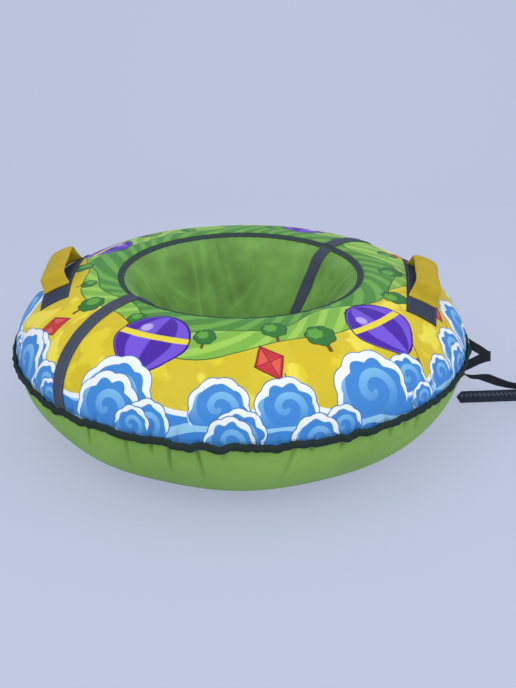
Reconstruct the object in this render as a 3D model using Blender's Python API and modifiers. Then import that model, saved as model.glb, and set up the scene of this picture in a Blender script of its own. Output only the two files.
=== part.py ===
"""A child's snow tube: a sewn cover over a hidden inner tube, with two grips and a tow strap.

Metres, +Z up. The origin is on the ground under the middle of the tube, and -Y is its front.
Round pieces are drawn as a section of (radius, height) points and turned about Z.
"""

import math

import bmesh
import bpy
import numpy as np
from mathutils import Matrix, Vector

QUARTER = math.pi / 2
HALF = math.pi
Z_AXIS = Vector((0, 0, 1))

# Section of the two covers
RIM_RADIUS = 0.425
RIM_HEIGHT = 0.153
CROWN_RADIUS = 0.2405
CROWN_HEIGHT = 0.276
GROUND_RADIUS = 0.270
FABRIC = 0.0012
GAP = 0.0003
CUT_OVERRUN = 0.0060
MERGE_DISTANCE = 0.00001
TURN_STEPS = 60
FACET = 2 * HALF / TURN_STEPS
TOP_STEPS = 7
BOTTOM_STEPS = 6

# Seat
SEAT_LIP = 0.0155
SEAT_EDGE_RADIUS = CROWN_RADIUS - SEAT_LIP
SEAT_EDGE_DROP = 0.0065
SEAT_ROLL_RADIUS = 0.050
SEAT_ROLL_START = math.radians(14.5)
SEAT_WALL_SLOPE = math.radians(62.5)
SEAT_FLOOR_HEIGHT = 0.075

# Tapes on the seams
PIPING_WIDTH = 0.012
PIPING_THICKNESS = 0.0015
BINDING_DEPTH = 0.010
BINDING_HEIGHT = 0.0065
BINDING_WAVE = 0.0022
BINDING_WAVES = 36
BINDING_STEPS = 144

# Cross strap
STRAP_WIDTH = 0.028
STRAP_THICKNESS = 0.0015
STRAP_AZIMUTH = math.radians(37)
STRAP_RIGHT_SKEW = math.radians(7)
STRAP_LEFT_SKEW = math.radians(10)
STRAP_GAP = 0.0010
SEAT_STRAP_GAP = 0.0010

# Inner tube and its valve
TUBE_CLEARANCE = 0.0018
TUBE_WALL = 0.0010
TUBE_WAIST_HEIGHT = 0.140
TUBE_STEPS = 4
VALVE_AZIMUTH = math.radians(-87)
VALVE_PAD_RADIUS = 0.0110
VALVE_PAD_THICKNESS = 0.0015
VALVE_STEM_RADIUS = 0.0042
VALVE_STEM_LENGTH = 0.030
VALVE_ROOT = 0.0030
VALVE_BORE_RADIUS = 0.0024
VALVE_CORE_LENGTH = 0.022
VALVE_PIN_RADIUS = 0.0009
VALVE_PIN_LENGTH = 0.0020
VALVE_CAP_WALL = 0.0010
VALVE_CAP_LENGTH = 0.0110
VALVE_CAP_TOP = 0.0014

# Handles
HANDLE_RADIUS = (CROWN_RADIUS + RIM_RADIUS) / 2
HANDLE_RIGHT_AZIMUTH = math.radians(-9.5)
HANDLE_RIGHT_SHIFT = 0.0145
HANDLE_RIGHT_OUTSET = 0.0025
HANDLE_LEFT_AZIMUTH = math.radians(183.9)
HANDLE_LEFT_SHIFT = -0.0545
HANDLE_LEFT_OUTSET = 0.0075
HANDLE_BASE_LENGTH = 0.281
HANDLE_BASE_WIDTH = 0.055
HANDLE_BASE_THICKNESS = 0.0015
HANDLE_BASE_GAP = 0.0006
FOOT_GAP = 0.0007
ARCH_LENGTH = 0.177
ARCH_FOOT = 0.0050
ARCH_RISE = 0.0150
FOOT_WIDTH = 0.0495
FOOT_THICKNESS = 0.0030
GRIP_WIDTH = 0.047
GRIP_THICKNESS = 0.0090
GRIP_HEIGHT = 0.0255
GRIP_CROWN = 0.0015
GRIP_WEB_WIDTH = 0.025
GRIP_WEB_THICKNESS = 0.0020
GRIP_WEB_CLEARANCE = 0.0004

# Tow loop and tow strap
TOW_WEB_WIDTH = 0.025
TOW_WEB_THICKNESS = 0.0020
LOOP_AZIMUTH = math.radians(-16.4)
LOOP_THICKNESS = 0.0026
LOOP_LEG_ANGLE = math.radians(38)
LOOP_INNER_REACH = 0.026
LOOP_REACH = 0.043
LOOP_HINGE_REACH = 0.0098
LOOP_CLEARANCE = 0.0006

# Zip in the seat wall
ZIP_HEIGHT = 0.200
ZIP_START = math.radians(-132)
ZIP_END = math.radians(-36)
ZIP_TAPE_WIDTH = 0.014
ZIP_TAPE_THICKNESS = 0.0007
ZIP_COIL_WIDTH = 0.0028
ZIP_COIL_THICKNESS = 0.0014
ZIP_SLOT = 0.0020
ZIP_STOP_LENGTH = 0.0050
SLIDER_LENGTH = 0.0120
SLIDER_WIDTH = 0.0090
SLIDER_HEIGHT = 0.0032
SLIDER_SEAT_GAP = 0.0006
EAR_THICKNESS = 0.0013
EAR_HEIGHT = 0.0044
PIN_RADIUS = 0.0007
PULL_EYE_RADIUS = 0.0019
PULL_LENGTH = 0.026
PULL_WIDTH = 0.0040
PULL_THICKNESS = 0.0012

# Route of the tow strap, from the rim to its sewn end: x, y, height and how far it is turned
# from lying flat to standing on its edge, as a share of a quarter turn
TOW_ROUTE = (
    (0.3945, -0.1808, 0.1445, 0.00),
    (0.4090, -0.1760, 0.1405, 0.05),
    (0.4225, -0.1655, 0.1325, 0.12),
    (0.4360, -0.1520, 0.1229, 0.22),
    (0.4543, -0.1330, 0.1086, 0.32),
    (0.4772, -0.1080, 0.0896, 0.38),
    (0.4987, -0.0830, 0.0708, 0.40),
    (0.5253, -0.0510, 0.0490, 0.40),
    (0.5500, -0.0200, 0.0305, 0.48),
    (0.5780, 0.0110, 0.0180, 0.84),
    (0.6150, 0.0420, 0.0133, 1.00),
    (0.6600, 0.0620, 0.0130, 1.00),
    (0.7100, 0.0640, 0.0130, 1.00),
    (0.7570, 0.0450, 0.0130, 1.00),
    (0.7880, 0.0060, 0.0130, 1.00),
    (0.7940, -0.0450, 0.0130, 1.00),
    (0.7720, -0.0900, 0.0130, 1.00),
    (0.7290, -0.1140, 0.0130, 1.00),
    (0.6800, -0.1100, 0.0130, 1.00),
    (0.6440, -0.0840, 0.0130, 1.00),
    (0.6180, -0.0540, 0.0130, 1.00),
    (0.6000, -0.0355, 0.0130, 1.00),
    (0.5820, -0.0265, 0.0130, 1.00),
    (0.5620, -0.0270, 0.0130, 1.00),
)
TOW_POINT_SPACING = 0.026
TOW_END_TIP = (0.4290, -0.0345)
TOW_END_THICKNESS = 0.0042
TOW_END_POINT = 0.0090

COLLECTION = "snow_tube"
GUIDES = "snow_tube_guides"


def linear(value):
    """One channel of a screen colour, 0 to 255, as the linear value that a shader takes."""
    share = value / 255
    return share / 12.92 if share <= 0.04045 else ((share + 0.055) / 1.055) ** 2.4


def finish(obj, colour, roughness, metallic=0.0):
    """Give the piece its own material in a screen colour."""
    material = bpy.data.materials.new(obj.name)
    material.use_nodes = True
    shader = material.node_tree.nodes["Principled BSDF"]
    shader.inputs["Base Color"].default_value = (*(linear(c) for c in colour), 1)
    shader.inputs["Roughness"].default_value = roughness
    shader.inputs["Metallic"].default_value = metallic
    obj.data.materials.append(material)
    return obj


def place(obj, collection=COLLECTION):
    bpy.data.collections[collection].objects.link(obj)
    return obj


def as_cutter(obj):
    """A helper shape that cuts others and isn't part of the tube."""
    obj.hide_render = True
    obj.display_type = "WIRE"
    return obj


def mesh_object(name, bm, collection=COLLECTION):
    mesh = bpy.data.meshes.new(name)
    if bm.calc_volume(signed=True) < 0:
        bmesh.ops.reverse_faces(bm, faces=bm.faces)
    bm.to_mesh(mesh)
    bm.free()
    mesh.shade_smooth()
    mesh.set_sharp_from_angle(angle=math.radians(40))
    return place(bpy.data.objects.new(name, mesh), collection)


def empty(name, matrix):
    """An unseen holder at a joint, which the moving pieces are parented to."""
    holder = place(bpy.data.objects.new(name, None))
    holder.matrix_world = matrix
    return holder


def hold(obj, holder):
    """Parent a piece whose mesh is already written in the holder's own axes."""
    obj.parent = holder
    return obj


def solidify(obj, thickness, offset):
    shell = obj.modifiers.new("Thickness", "SOLIDIFY")
    shell.thickness = thickness
    shell.offset = offset
    shell.use_even_offset = True
    shell.use_quality_normals = True
    return obj


def combine(obj, other, operation):
    boolean = obj.modifiers.new(operation.title(), "BOOLEAN")
    boolean.operation = operation
    boolean.object = as_cutter(other)
    return obj


def arc(centre, across, up, start, end, steps):
    """Points on an ellipse in the section, between two angles counted from +R towards +Z."""
    return [
        (centre[0] + across * math.cos(a), centre[1] + up * math.sin(a))
        for a in np.linspace(start, end, steps + 1)
    ]


def offset(points, distance):
    """The section line moved sideways, outwards where the line runs down the outer side."""
    line = np.array(points)
    steps = np.diff(line, axis=0)
    normals = np.stack([-steps[:, 1], steps[:, 0]], 1)
    normals /= np.linalg.norm(normals, axis=1)[:, None]
    before = np.vstack([normals[:1], normals])
    after = np.vstack([normals, normals[-1:]])
    mean = before + after
    mean /= (mean * after).sum(1)[:, None]
    return [tuple(p) for p in line + mean * distance]


def trim(points, start, end):
    """The stretch of a section line between two distances along it."""
    line = np.array(points)
    along = np.concatenate([[0], np.cumsum(np.linalg.norm(np.diff(line, axis=0), axis=1))])
    inside = along[(along > start) & (along < end)]
    wanted = np.concatenate([[start], inside, [end]])
    return list(zip(np.interp(wanted, along, line[:, 0]), np.interp(wanted, along, line[:, 1])))


def run_length(points):
    return float(np.linalg.norm(np.diff(np.array(points), axis=0), axis=1).sum())


def turned(name, section, thickness=0.0, side=-1, closed=False, sweep=2 * HALF, start=0.0,
           steps=TURN_STEPS, collection=COLLECTION):
    """A section turned about Z, whole or in part, with the wall laid inside or outside its line."""
    mesh = bpy.data.meshes.new(name)
    points = [(r * math.cos(start), r * math.sin(start), z) for r, z in section]
    edges = [(i, i + 1) for i in range(len(points) - 1)]
    if closed:
        edges.append((len(points) - 1, 0))
    mesh.from_pydata(points, edges, [])
    obj = place(bpy.data.objects.new(name, mesh), collection)
    screw = obj.modifiers.new("Turn", "SCREW")
    screw.angle = sweep
    screw.steps = steps
    screw.render_steps = steps
    screw.use_merge_vertices = True
    screw.merge_threshold = MERGE_DISTANCE
    if thickness:
        solidify(obj, thickness, side)
    return obj


def baked(obj):
    """The same piece with its modifiers turned into plain mesh."""
    graph = bpy.context.evaluated_depsgraph_get()
    mesh = bpy.data.meshes.new_from_object(obj.evaluated_get(graph))
    obj.modifiers.clear()
    obj.data = mesh
    return obj


def loft(name, rings, collection=COLLECTION):
    """A closed solid through rings of as many points each."""
    bm = bmesh.new()
    loops = [[bm.verts.new(point) for point in ring] for ring in rings]
    for near, far in zip(loops, loops[1:]):
        for i in range(len(near)):
            j = (i + 1) % len(near)
            bm.faces.new((near[i], near[j], far[j], far[i]))
    bm.faces.new(reversed(loops[0]))
    bm.faces.new(loops[-1])
    return mesh_object(name, bm, collection)


def block(name, size, middle, matrix=Matrix.Identity(4), collection=COLLECTION):
    """A box of the given size about a middle point, both in the axes of the matrix."""
    bm = bmesh.new()
    bmesh.ops.create_cube(bm, size=1)
    bm.transform(matrix @ Matrix.Translation(middle) @ Matrix.Diagonal((*size, 1)))
    return mesh_object(name, bm, collection)


def rod(name, radius, start, end, matrix=Matrix.Identity(4), sides=16, collection=COLLECTION):
    """A round bar between two points, both in the axes of the matrix."""
    start = Vector(start)
    end = Vector(end)
    bm = bmesh.new()
    bmesh.ops.create_cone(bm, cap_ends=True, segments=sides, radius1=radius, radius2=radius,
                          depth=(end - start).length)
    turn = (end - start).to_track_quat("Z", "Y").to_matrix().to_4x4()
    bm.transform(matrix @ Matrix.Translation((start + end) / 2) @ turn)
    return mesh_object(name, bm, collection)


def frame_at(point, along, outward):
    """Axes with X along a direction and Z outwards, at a point."""
    x = Vector(along).normalized()
    z = Vector(outward).normalized()
    y = z.cross(x)
    matrix = Matrix((x, y, z)).transposed().to_4x4()
    matrix.translation = point
    return matrix


# Section lines of the covers and the seat


def lip_line():
    """From the seat edge up to the crown, where the seam pulls the cover in."""
    run = CROWN_RADIUS - SEAT_EDGE_RADIUS
    radius = (run ** 2 + SEAT_EDGE_DROP ** 2) / (2 * SEAT_EDGE_DROP)
    turn = math.asin(run / radius)
    return arc((CROWN_RADIUS, CROWN_HEIGHT - radius), radius, radius, QUARTER + turn, QUARTER, 2)


def top_line():
    """From the seat edge over the crown to the rim."""
    outer = arc((CROWN_RADIUS, RIM_HEIGHT), RIM_RADIUS - CROWN_RADIUS, CROWN_HEIGHT - RIM_HEIGHT,
                QUARTER, 0, TOP_STEPS)
    outer[-1] = (RIM_RADIUS, RIM_HEIGHT + GAP)
    return lip_line() + outer[1:]


def bottom_line():
    """From the rim down to the ground and in to the middle of the underside."""
    outer = arc((GROUND_RADIUS, RIM_HEIGHT), RIM_RADIUS - GROUND_RADIUS, RIM_HEIGHT, 0, -QUARTER,
                BOTTOM_STEPS)
    outer[0] = (RIM_RADIUS, RIM_HEIGHT - GAP)
    return outer + [(0, 0)]


def roll_centre():
    return (SEAT_EDGE_RADIUS + SEAT_ROLL_RADIUS * math.sin(SEAT_ROLL_START),
            CROWN_HEIGHT - SEAT_EDGE_DROP - SEAT_ROLL_RADIUS * math.cos(SEAT_ROLL_START))


def wall_radius(height):
    """Radius of the straight part of the seat wall at a height."""
    r, z = roll_centre()
    r -= SEAT_ROLL_RADIUS * math.sin(SEAT_WALL_SLOPE)
    z += SEAT_ROLL_RADIUS * math.cos(SEAT_WALL_SLOPE)
    return r - (z - height) / math.tan(SEAT_WALL_SLOPE)


def seat_line():
    """From the seat floor up the wall and over the roll to the seat edge."""
    start = QUARTER + SEAT_WALL_SLOPE
    end = QUARTER + math.asin(math.sin(SEAT_ROLL_START) + GAP / SEAT_ROLL_RADIUS)
    roll = arc(roll_centre(), SEAT_ROLL_RADIUS, SEAT_ROLL_RADIUS, start, end, 4)
    return [(wall_radius(SEAT_FLOOR_HEIGHT), SEAT_FLOOR_HEIGHT)] + roll


def tube_line():
    """Closed section of the inner tube, just inside the covers: down the outside, up the inside."""
    inset = FABRIC + TUBE_CLEARANCE
    waist = wall_radius(TUBE_WAIST_HEIGHT) + inset / math.sin(SEAT_WALL_SLOPE)
    upper = arc((CROWN_RADIUS, RIM_HEIGHT), RIM_RADIUS - CROWN_RADIUS - inset,
                CROWN_HEIGHT - RIM_HEIGHT - inset, QUARTER, 0, TUBE_STEPS)
    lower = arc((GROUND_RADIUS, RIM_HEIGHT), RIM_RADIUS - GROUND_RADIUS - inset, RIM_HEIGHT - inset,
                0, -QUARTER, TUBE_STEPS)
    under = arc((GROUND_RADIUS, TUBE_WAIST_HEIGHT), GROUND_RADIUS - waist, TUBE_WAIST_HEIGHT - inset,
                -QUARTER, -HALF, TUBE_STEPS)
    roll = arc(roll_centre(), SEAT_ROLL_RADIUS - inset, SEAT_ROLL_RADIUS - inset,
               QUARTER + SEAT_WALL_SLOPE, QUARTER + SEAT_ROLL_START, 2)
    return upper + lower[1:] + under[1:] + roll


def cover_height(radius):
    """Height of the top cover's outside at a radius, outside the crown."""
    share = min(max((radius - CROWN_RADIUS) / (RIM_RADIUS - CROWN_RADIUS), 0), 1)
    return RIM_HEIGHT + (CROWN_HEIGHT - RIM_HEIGHT) * math.sqrt(1 - share ** 2)


# Covers, seat and tapes


def top_cover():
    return finish(turned("top_cover", top_line(), FABRIC), (216, 200, 62), 0.55)


def bottom_cover():
    return finish(turned("bottom_cover", bottom_line(), FABRIC), (142, 196, 66), 0.5)


def seat_wall():
    slot = turned("zip_slot", zip_strip(-ZIP_SLOT, ZIP_SLOT, 0), 2 * CUT_OVERRUN, 0,
                  sweep=ZIP_END - ZIP_START, start=ZIP_START, steps=zip_steps(), collection=GUIDES)
    wall = combine(turned("seat_wall", seat_line(), FABRIC), slot, "DIFFERENCE")
    return finish(wall, (112, 164, 66), 0.6)


def seat_floor():
    radius = wall_radius(SEAT_FLOOR_HEIGHT) - GAP
    floor = turned("seat_floor", [(0, SEAT_FLOOR_HEIGHT), (radius, SEAT_FLOOR_HEIGHT)], FABRIC)
    return finish(floor, (104, 154, 62), 0.6)


def seat_piping():
    """Tape over the seam, half on the seat wall and half on the top cover."""
    seat = seat_line()
    length = run_length(seat)
    inner = trim(seat, length - PIPING_WIDTH / 2, length)
    outer = trim(top_line(), 0, PIPING_WIDTH / 2)
    tape = turned("seat_piping", offset(inner[:-1] + outer, GAP), PIPING_THICKNESS, 1)
    return finish(tape, (62, 70, 84), 0.7)


def rim_binding():
    """Gathered tape round the rim seam, which rises and falls in small waves."""
    inner = RIM_RADIUS + GAP
    chamfer = BINDING_HEIGHT / 4
    top = RIM_HEIGHT + BINDING_HEIGHT / 2
    bottom = RIM_HEIGHT - BINDING_HEIGHT / 2
    outer = inner + BINDING_DEPTH - 2 * chamfer
    section = [(inner, top), (outer - chamfer, top), (outer, top - chamfer), (outer, bottom + chamfer),
               (outer - chamfer, bottom), (inner, bottom)]
    ring = baked(turned("rim_binding", section, closed=True, steps=BINDING_STEPS))
    for vertex in ring.data.vertices:
        azimuth = math.atan2(vertex.co.y, vertex.co.x)
        wave = BINDING_WAVES * azimuth + math.sin(3 * azimuth) + math.sin(5 * azimuth)
        vertex.co.z += BINDING_WAVE * math.sin(wave)
    return finish(ring, (38, 48, 48), 0.75)


def binding_radius():
    """Outermost radius of the rim binding."""
    return RIM_RADIUS + GAP + BINDING_DEPTH - BINDING_HEIGHT / 2


# Cross strap


def band(name, line, azimuths, width, thickness):
    """A flat strap that follows a section line, with an azimuth for each of its points."""
    bm = bmesh.new()
    rows = []
    for (r, z), azimuth in zip(line, azimuths):
        turn = Matrix.Rotation(azimuth, 4, "Z")
        rows.append([bm.verts.new(turn @ Vector((r, side * width / 2, z))) for side in (-1, 1)])
    for near, far in zip(rows, rows[1:]):
        bm.faces.new((near[0], far[0], far[1], near[1]))
    mesh = bpy.data.meshes.new(name)
    bm.to_mesh(mesh)
    bm.free()
    return solidify(place(bpy.data.objects.new(name, mesh)), thickness, 1)


def cover_strap(name, azimuth, skew):
    """From the piping at the seat edge to just above the rim binding, drifting sideways by a skew."""
    line = top_line()
    heights = np.array([z for _, z in line[2:]])
    lengths = [run_length(line[:i + 1]) for i in range(2, len(line))]
    lowest = RIM_HEIGHT + BINDING_HEIGHT / 2 + BINDING_WAVE + STRAP_THICKNESS
    end = float(np.interp(-lowest, -heights, lengths))
    line = offset(trim(line, PIPING_WIDTH / 2 + PIPING_THICKNESS, end), STRAP_GAP)
    azimuths = [azimuth + skew * run_length(line[:i + 1]) / run_length(line) for i in range(len(line))]
    return finish(band(name, line, azimuths, STRAP_WIDTH, STRAP_THICKNESS), (70, 78, 96), 0.7)


def seat_strap():
    """Down one side of the seat, over its floor and up the other side."""
    line = seat_line()
    side = trim(line, 0, run_length(line) - PIPING_WIDTH / 2 - PIPING_THICKNESS)
    whole = [(-r, z) for r, z in reversed(side)] + side
    raised = offset(whole, SEAT_STRAP_GAP)
    strap = band("strap_seat", raised, [STRAP_AZIMUTH] * len(raised), STRAP_WIDTH, STRAP_THICKNESS)
    return finish(strap, (58, 66, 82), 0.7)


# Inner tube and valve


def valve_frame():
    """Axes on one flat facet of the inner tube's underside, below its waist, Z out of the tube."""
    height = TUBE_WAIST_HEIGHT / 2
    line = tube_line()
    inner_side = [i for i in range(len(line) - 1) if max(line[i][0], line[i + 1][0]) <= GROUND_RADIUS]
    index = min(inner_side, key=lambda i: abs((line[i][1] + line[i + 1][1]) / 2 - height))
    low, high = line[index], line[index + 1]
    flat = math.cos(FACET / 2)
    middle_r = (low[0] + high[0]) / 2 * flat
    middle_z = (low[1] + high[1]) / 2
    radial = Vector((math.cos(VALVE_AZIMUTH), math.sin(VALVE_AZIMUTH), 0))
    slope = radial * ((high[0] - low[0]) * flat) + Z_AXIS * (high[1] - low[1])
    around = Z_AXIS.cross(radial)
    return frame_at(radial * middle_r + Z_AXIS * middle_z, around, slope.cross(around))


def inner_tube():
    hole = rod("valve_hole", VALVE_STEM_RADIUS + GAP, (0, 0, -TUBE_WALL - CUT_OVERRUN),
               (0, 0, CUT_OVERRUN), valve_frame(), collection=GUIDES)
    tube = combine(turned("inner_tube", tube_line(), TUBE_WALL, closed=True), hole, "DIFFERENCE")
    return finish(tube, (28, 28, 30), 0.6)


def stepped(name, outline, matrix, sides=20):
    """A small turned part: an outline of (radius, height) points turned about Z of the matrix."""
    obj = turned(name, outline, closed=True, steps=sides)
    obj.matrix_world = matrix
    return obj


def valve():
    axes = valve_frame()
    pad = GAP + VALVE_PAD_THICKNESS
    top = VALVE_STEM_LENGTH
    stem = [(VALVE_BORE_RADIUS, top), (VALVE_STEM_RADIUS, top), (VALVE_STEM_RADIUS, pad),
            (VALVE_PAD_RADIUS, pad), (VALVE_PAD_RADIUS, GAP), (VALVE_STEM_RADIUS, GAP),
            (VALVE_STEM_RADIUS, -VALVE_ROOT), (VALVE_BORE_RADIUS, -VALVE_ROOT)]
    finish(stepped("valve_stem", stem, axes), (40, 40, 42), 0.5)
    core = VALVE_BORE_RADIUS - GAP
    bottom = top - VALVE_CORE_LENGTH
    pin_top = top + VALVE_PIN_LENGTH
    core_line = [(0, pin_top), (VALVE_PIN_RADIUS, pin_top), (VALVE_PIN_RADIUS, top), (core, top),
                 (core, bottom), (0, bottom)]
    finish(stepped("valve_core", core_line, axes, 12), (190, 160, 80), 0.35, 1)
    bore = VALVE_STEM_RADIUS + GAP
    outer = bore + VALVE_CAP_WALL
    roof = pin_top + GAP
    mouth = roof - VALVE_CAP_LENGTH
    cap_line = [(0, roof + VALVE_CAP_TOP), (outer, roof + VALVE_CAP_TOP), (outer, mouth), (bore, mouth),
                (bore, roof), (0, roof)]
    finish(stepped("valve_cap", cap_line, axes), (22, 22, 24), 0.5)


# Handles


def rounded(width, thickness, count):
    """Points round a flat section with full, soft sides."""
    ring = []
    for i in range(count):
        turn = 2 * HALF * (i + 0.5) / count
        across = math.copysign(abs(math.cos(turn)) ** 0.6, math.cos(turn))
        up = math.copysign(abs(math.sin(turn)) ** 0.8, math.sin(turn))
        ring.append((across * width / 2, up * thickness / 2))
    return ring


class Handle:
    """One handle on the top cover: its place and its own axes, X along it and Z off the cover."""

    def __init__(self, name, azimuth, middle, outset):
        self.name = name
        self.middle = middle
        radius = HANDLE_RADIUS + outset
        slope = math.atan2(cover_height(radius + GAP) - cover_height(radius - GAP), 2 * GAP)
        self.lean = math.cos(slope)
        radial = Vector((math.cos(azimuth), math.sin(azimuth), 0))
        outward = radial * math.cos(slope) + Z_AXIS * math.sin(slope)
        along = Z_AXIS.cross(radial)
        foot = radial * radius + Z_AXIS * cover_height(radius)
        self.axes = frame_at(foot, along, along.cross(outward) * -1)
        self.half = ARCH_LENGTH / 2
        self.front_side = -1 if along.y > 0 else 1

    def cover(self, x, y):
        """How far the cover lies off the handle's own base plane at a point of that plane."""
        z = 0
        for _ in range(12):
            point = self.axes @ Vector((x, y, z))
            z += (cover_height(math.hypot(point.x, point.y)) - point.z) * self.lean
        return z

    def rise(self, x):
        """0 on a sewn foot, 1 along the grip, and a smooth step between them."""
        distance = self.half - ARCH_FOOT - abs(x - self.middle)
        share = min(max(distance / ARCH_RISE, 0), 1)
        return share * share * (3 - 2 * share)

    def grip_half(self):
        """Half the length of the swinging grip, measured to its shoulders."""
        return self.half - ARCH_FOOT - ARCH_RISE

    def grip_line(self, x):
        """Height of the grip's middle layer over the base plane."""
        return GRIP_HEIGHT - GRIP_CROWN * ((x - self.middle) / self.half) ** 2

    def arch_line(self, x, y):
        """Height of the whole arch's middle layer: on the cover at the feet, then up to the grip."""
        share = self.rise(x)
        seat = self.cover(x, y) + HANDLE_BASE_GAP + HANDLE_BASE_THICKNESS + FOOT_GAP
        return (seat + FOOT_THICKNESS / 2) * (1 - share) + self.grip_line(x) * share

    def arch_ring(self, x, width, thickness):
        """Rounded section of the arch at x, as thick across its slope as it is on the level."""
        slope = (self.arch_line(x + GAP, 0) - self.arch_line(x - GAP, 0)) / (2 * GAP)
        tall = thickness * math.sqrt(1 + slope * slope)
        return [(x, y, self.arch_line(x, y) + z) for y, z in rounded(width, tall, 12)]

    def arch(self, part, start, end, steps):
        """The padded arch between two distances from its middle."""
        rings = []
        for x in np.linspace(self.middle + start, self.middle + end, steps + 1):
            share = self.rise(x)
            width = FOOT_WIDTH + (GRIP_WIDTH - FOOT_WIDTH) * share
            thickness = FOOT_THICKNESS + (GRIP_THICKNESS - FOOT_THICKNESS) * share
            rings.append(self.arch_ring(x, width, thickness))
        return loft(f"{self.name}_{part}", rings)

    def webbing(self, part, width, thickness, overrun, collection=COLLECTION):
        """The flat load webbing in the grip, or the bore for it."""
        reach = self.grip_half() - GAP / 2 + overrun
        rings = []
        for x in np.linspace(self.middle - reach, self.middle + reach, 5):
            rings.append([(x, y, self.grip_line(x) + z) for y, z in rounded(width, thickness, 8)])
        return loft(f"{self.name}_{part}", rings, collection)


def handle_base(handle):
    """Wide webbing sewn flat on the cover, under the arch and beyond both its feet."""
    bm = bmesh.new()
    xs = np.linspace(-HANDLE_BASE_LENGTH / 2, HANDLE_BASE_LENGTH / 2, 21) + handle.middle
    ys = np.linspace(-HANDLE_BASE_WIDTH / 2, HANDLE_BASE_WIDTH / 2, 7)
    rows = []
    for x in xs:
        line = [Vector((x, y, handle.cover(x, y) + HANDLE_BASE_GAP)) for y in ys]
        rows.append([bm.verts.new(handle.axes @ point) for point in line])
    for near, far in zip(rows, rows[1:]):
        for i in range(len(ys) - 1):
            bm.faces.new((near[i], far[i], far[i + 1], near[i + 1]))
    mesh = bpy.data.meshes.new(f"{handle.name}_base")
    bm.to_mesh(mesh)
    bm.free()
    base = place(bpy.data.objects.new(mesh.name, mesh))
    return finish(solidify(base, HANDLE_BASE_THICKNESS, 1), (58, 64, 84), 0.75)


def handle(name, azimuth, middle, outset):
    """Base, two sewn tabs and the grip that swings between them on the line of the feet."""
    one = Handle(name, azimuth, middle, outset)
    handle_base(one)
    holder = empty(f"{name}_axis", one.axes)
    yellow = (190, 166, 40)
    half = one.grip_half()
    for part, side in (("front_tab", one.front_side), ("rear_tab", -one.front_side)):
        start, end = sorted((side * (half + GAP / 2), side * one.half))
        finish(hold(one.arch(part, start, end, 7), holder), yellow, 0.7)
    grip = hold(one.arch("grip", GAP / 2 - half, half - GAP / 2, 6), holder)
    bore = one.webbing("bore", GRIP_WEB_WIDTH + 2 * GRIP_WEB_CLEARANCE,
                       GRIP_WEB_THICKNESS + 2 * GRIP_WEB_CLEARANCE, CUT_OVERRUN, GUIDES)
    finish(combine(grip, hold(bore, holder), "DIFFERENCE"), yellow, 0.7)
    load = one.webbing("webbing", GRIP_WEB_WIDTH, GRIP_WEB_THICKNESS, 0)
    finish(hold(load, holder), (60, 62, 70), 0.8)


# Tow loop and tow strap


def line_to_rim(intercept, slope, radius):
    """How far along the rim's tangent the slanting edge of a loop's leg meets a circle round the rim."""
    reach = RIM_RADIUS + intercept
    a = 1 + slope ** 2
    b = slope * reach
    return (b - math.sqrt(b ** 2 - a * (reach ** 2 - radius ** 2))) / a


def tow_loop():
    """Webbing folded at its tip, both ends sewn into the rim, swinging about the rim's tangent."""
    slope = math.tan(LOOP_LEG_ANGLE)
    outer = LOOP_INNER_REACH + TOW_WEB_WIDTH / math.cos(LOOP_LEG_ANGLE)
    tip = (outer - LOOP_REACH) / slope
    radius = binding_radius() + LOOP_CLEARANCE
    first = line_to_rim(LOOP_INNER_REACH, slope, radius)
    last = line_to_rim(outer, slope, radius)
    side = [(LOOP_REACH, tip)]
    for t in np.linspace(last, first, 5):
        side.append((math.sqrt(radius ** 2 - t ** 2) - RIM_RADIUS, t))
    outline = side + [(LOOP_INNER_REACH, 0)] + [(q, -t) for q, t in reversed(side)]
    curve = bpy.data.curves.new("tow_loop", "CURVE")
    curve.dimensions = "2D"
    curve.fill_mode = "BOTH"
    curve.extrude = LOOP_THICKNESS / 2
    spline = curve.splines.new("POLY")
    spline.points.add(len(outline) - 1)
    for point, (q, t) in zip(spline.points, outline):
        point.co = (q - LOOP_HINGE_REACH, t, 0, 1)
    spline.use_cyclic_u = True
    loop = place(bpy.data.objects.new("tow_loop", curve))
    reach = RIM_RADIUS + LOOP_HINGE_REACH
    loop.location = (reach * math.cos(LOOP_AZIMUTH), reach * math.sin(LOOP_AZIMUTH), RIM_HEIGHT)
    loop.rotation_euler = (0, 0, LOOP_AZIMUTH)
    return finish(loop, (30, 32, 42), 0.7)


def smooth_route(route, spacing):
    """Evenly spaced points on a smooth curve through the route's own points."""
    points = np.array(route)
    ends = np.vstack([2 * points[0] - points[1], points, 2 * points[-1] - points[-2]])
    fine = []
    for a, b, c, d in zip(ends, ends[1:], ends[2:], ends[3:]):
        for t in np.arange(0, 1, 0.05):
            fine.append(0.5 * (2 * b + (c - a) * t + (2 * a - 5 * b + 4 * c - d) * t ** 2
                               + (3 * b - 3 * c + d - a) * t ** 3))
    fine = np.array(fine + [points[-1]])
    along = np.concatenate([[0], np.cumsum(np.linalg.norm(np.diff(fine[:, :3], axis=0), axis=1))])
    count = max(round(along[-1] / spacing), 2)
    wanted = np.linspace(0, along[-1], count + 1)
    return np.stack([np.interp(wanted, along, fine[:, i]) for i in range(4)], 1), along[-1]


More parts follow.
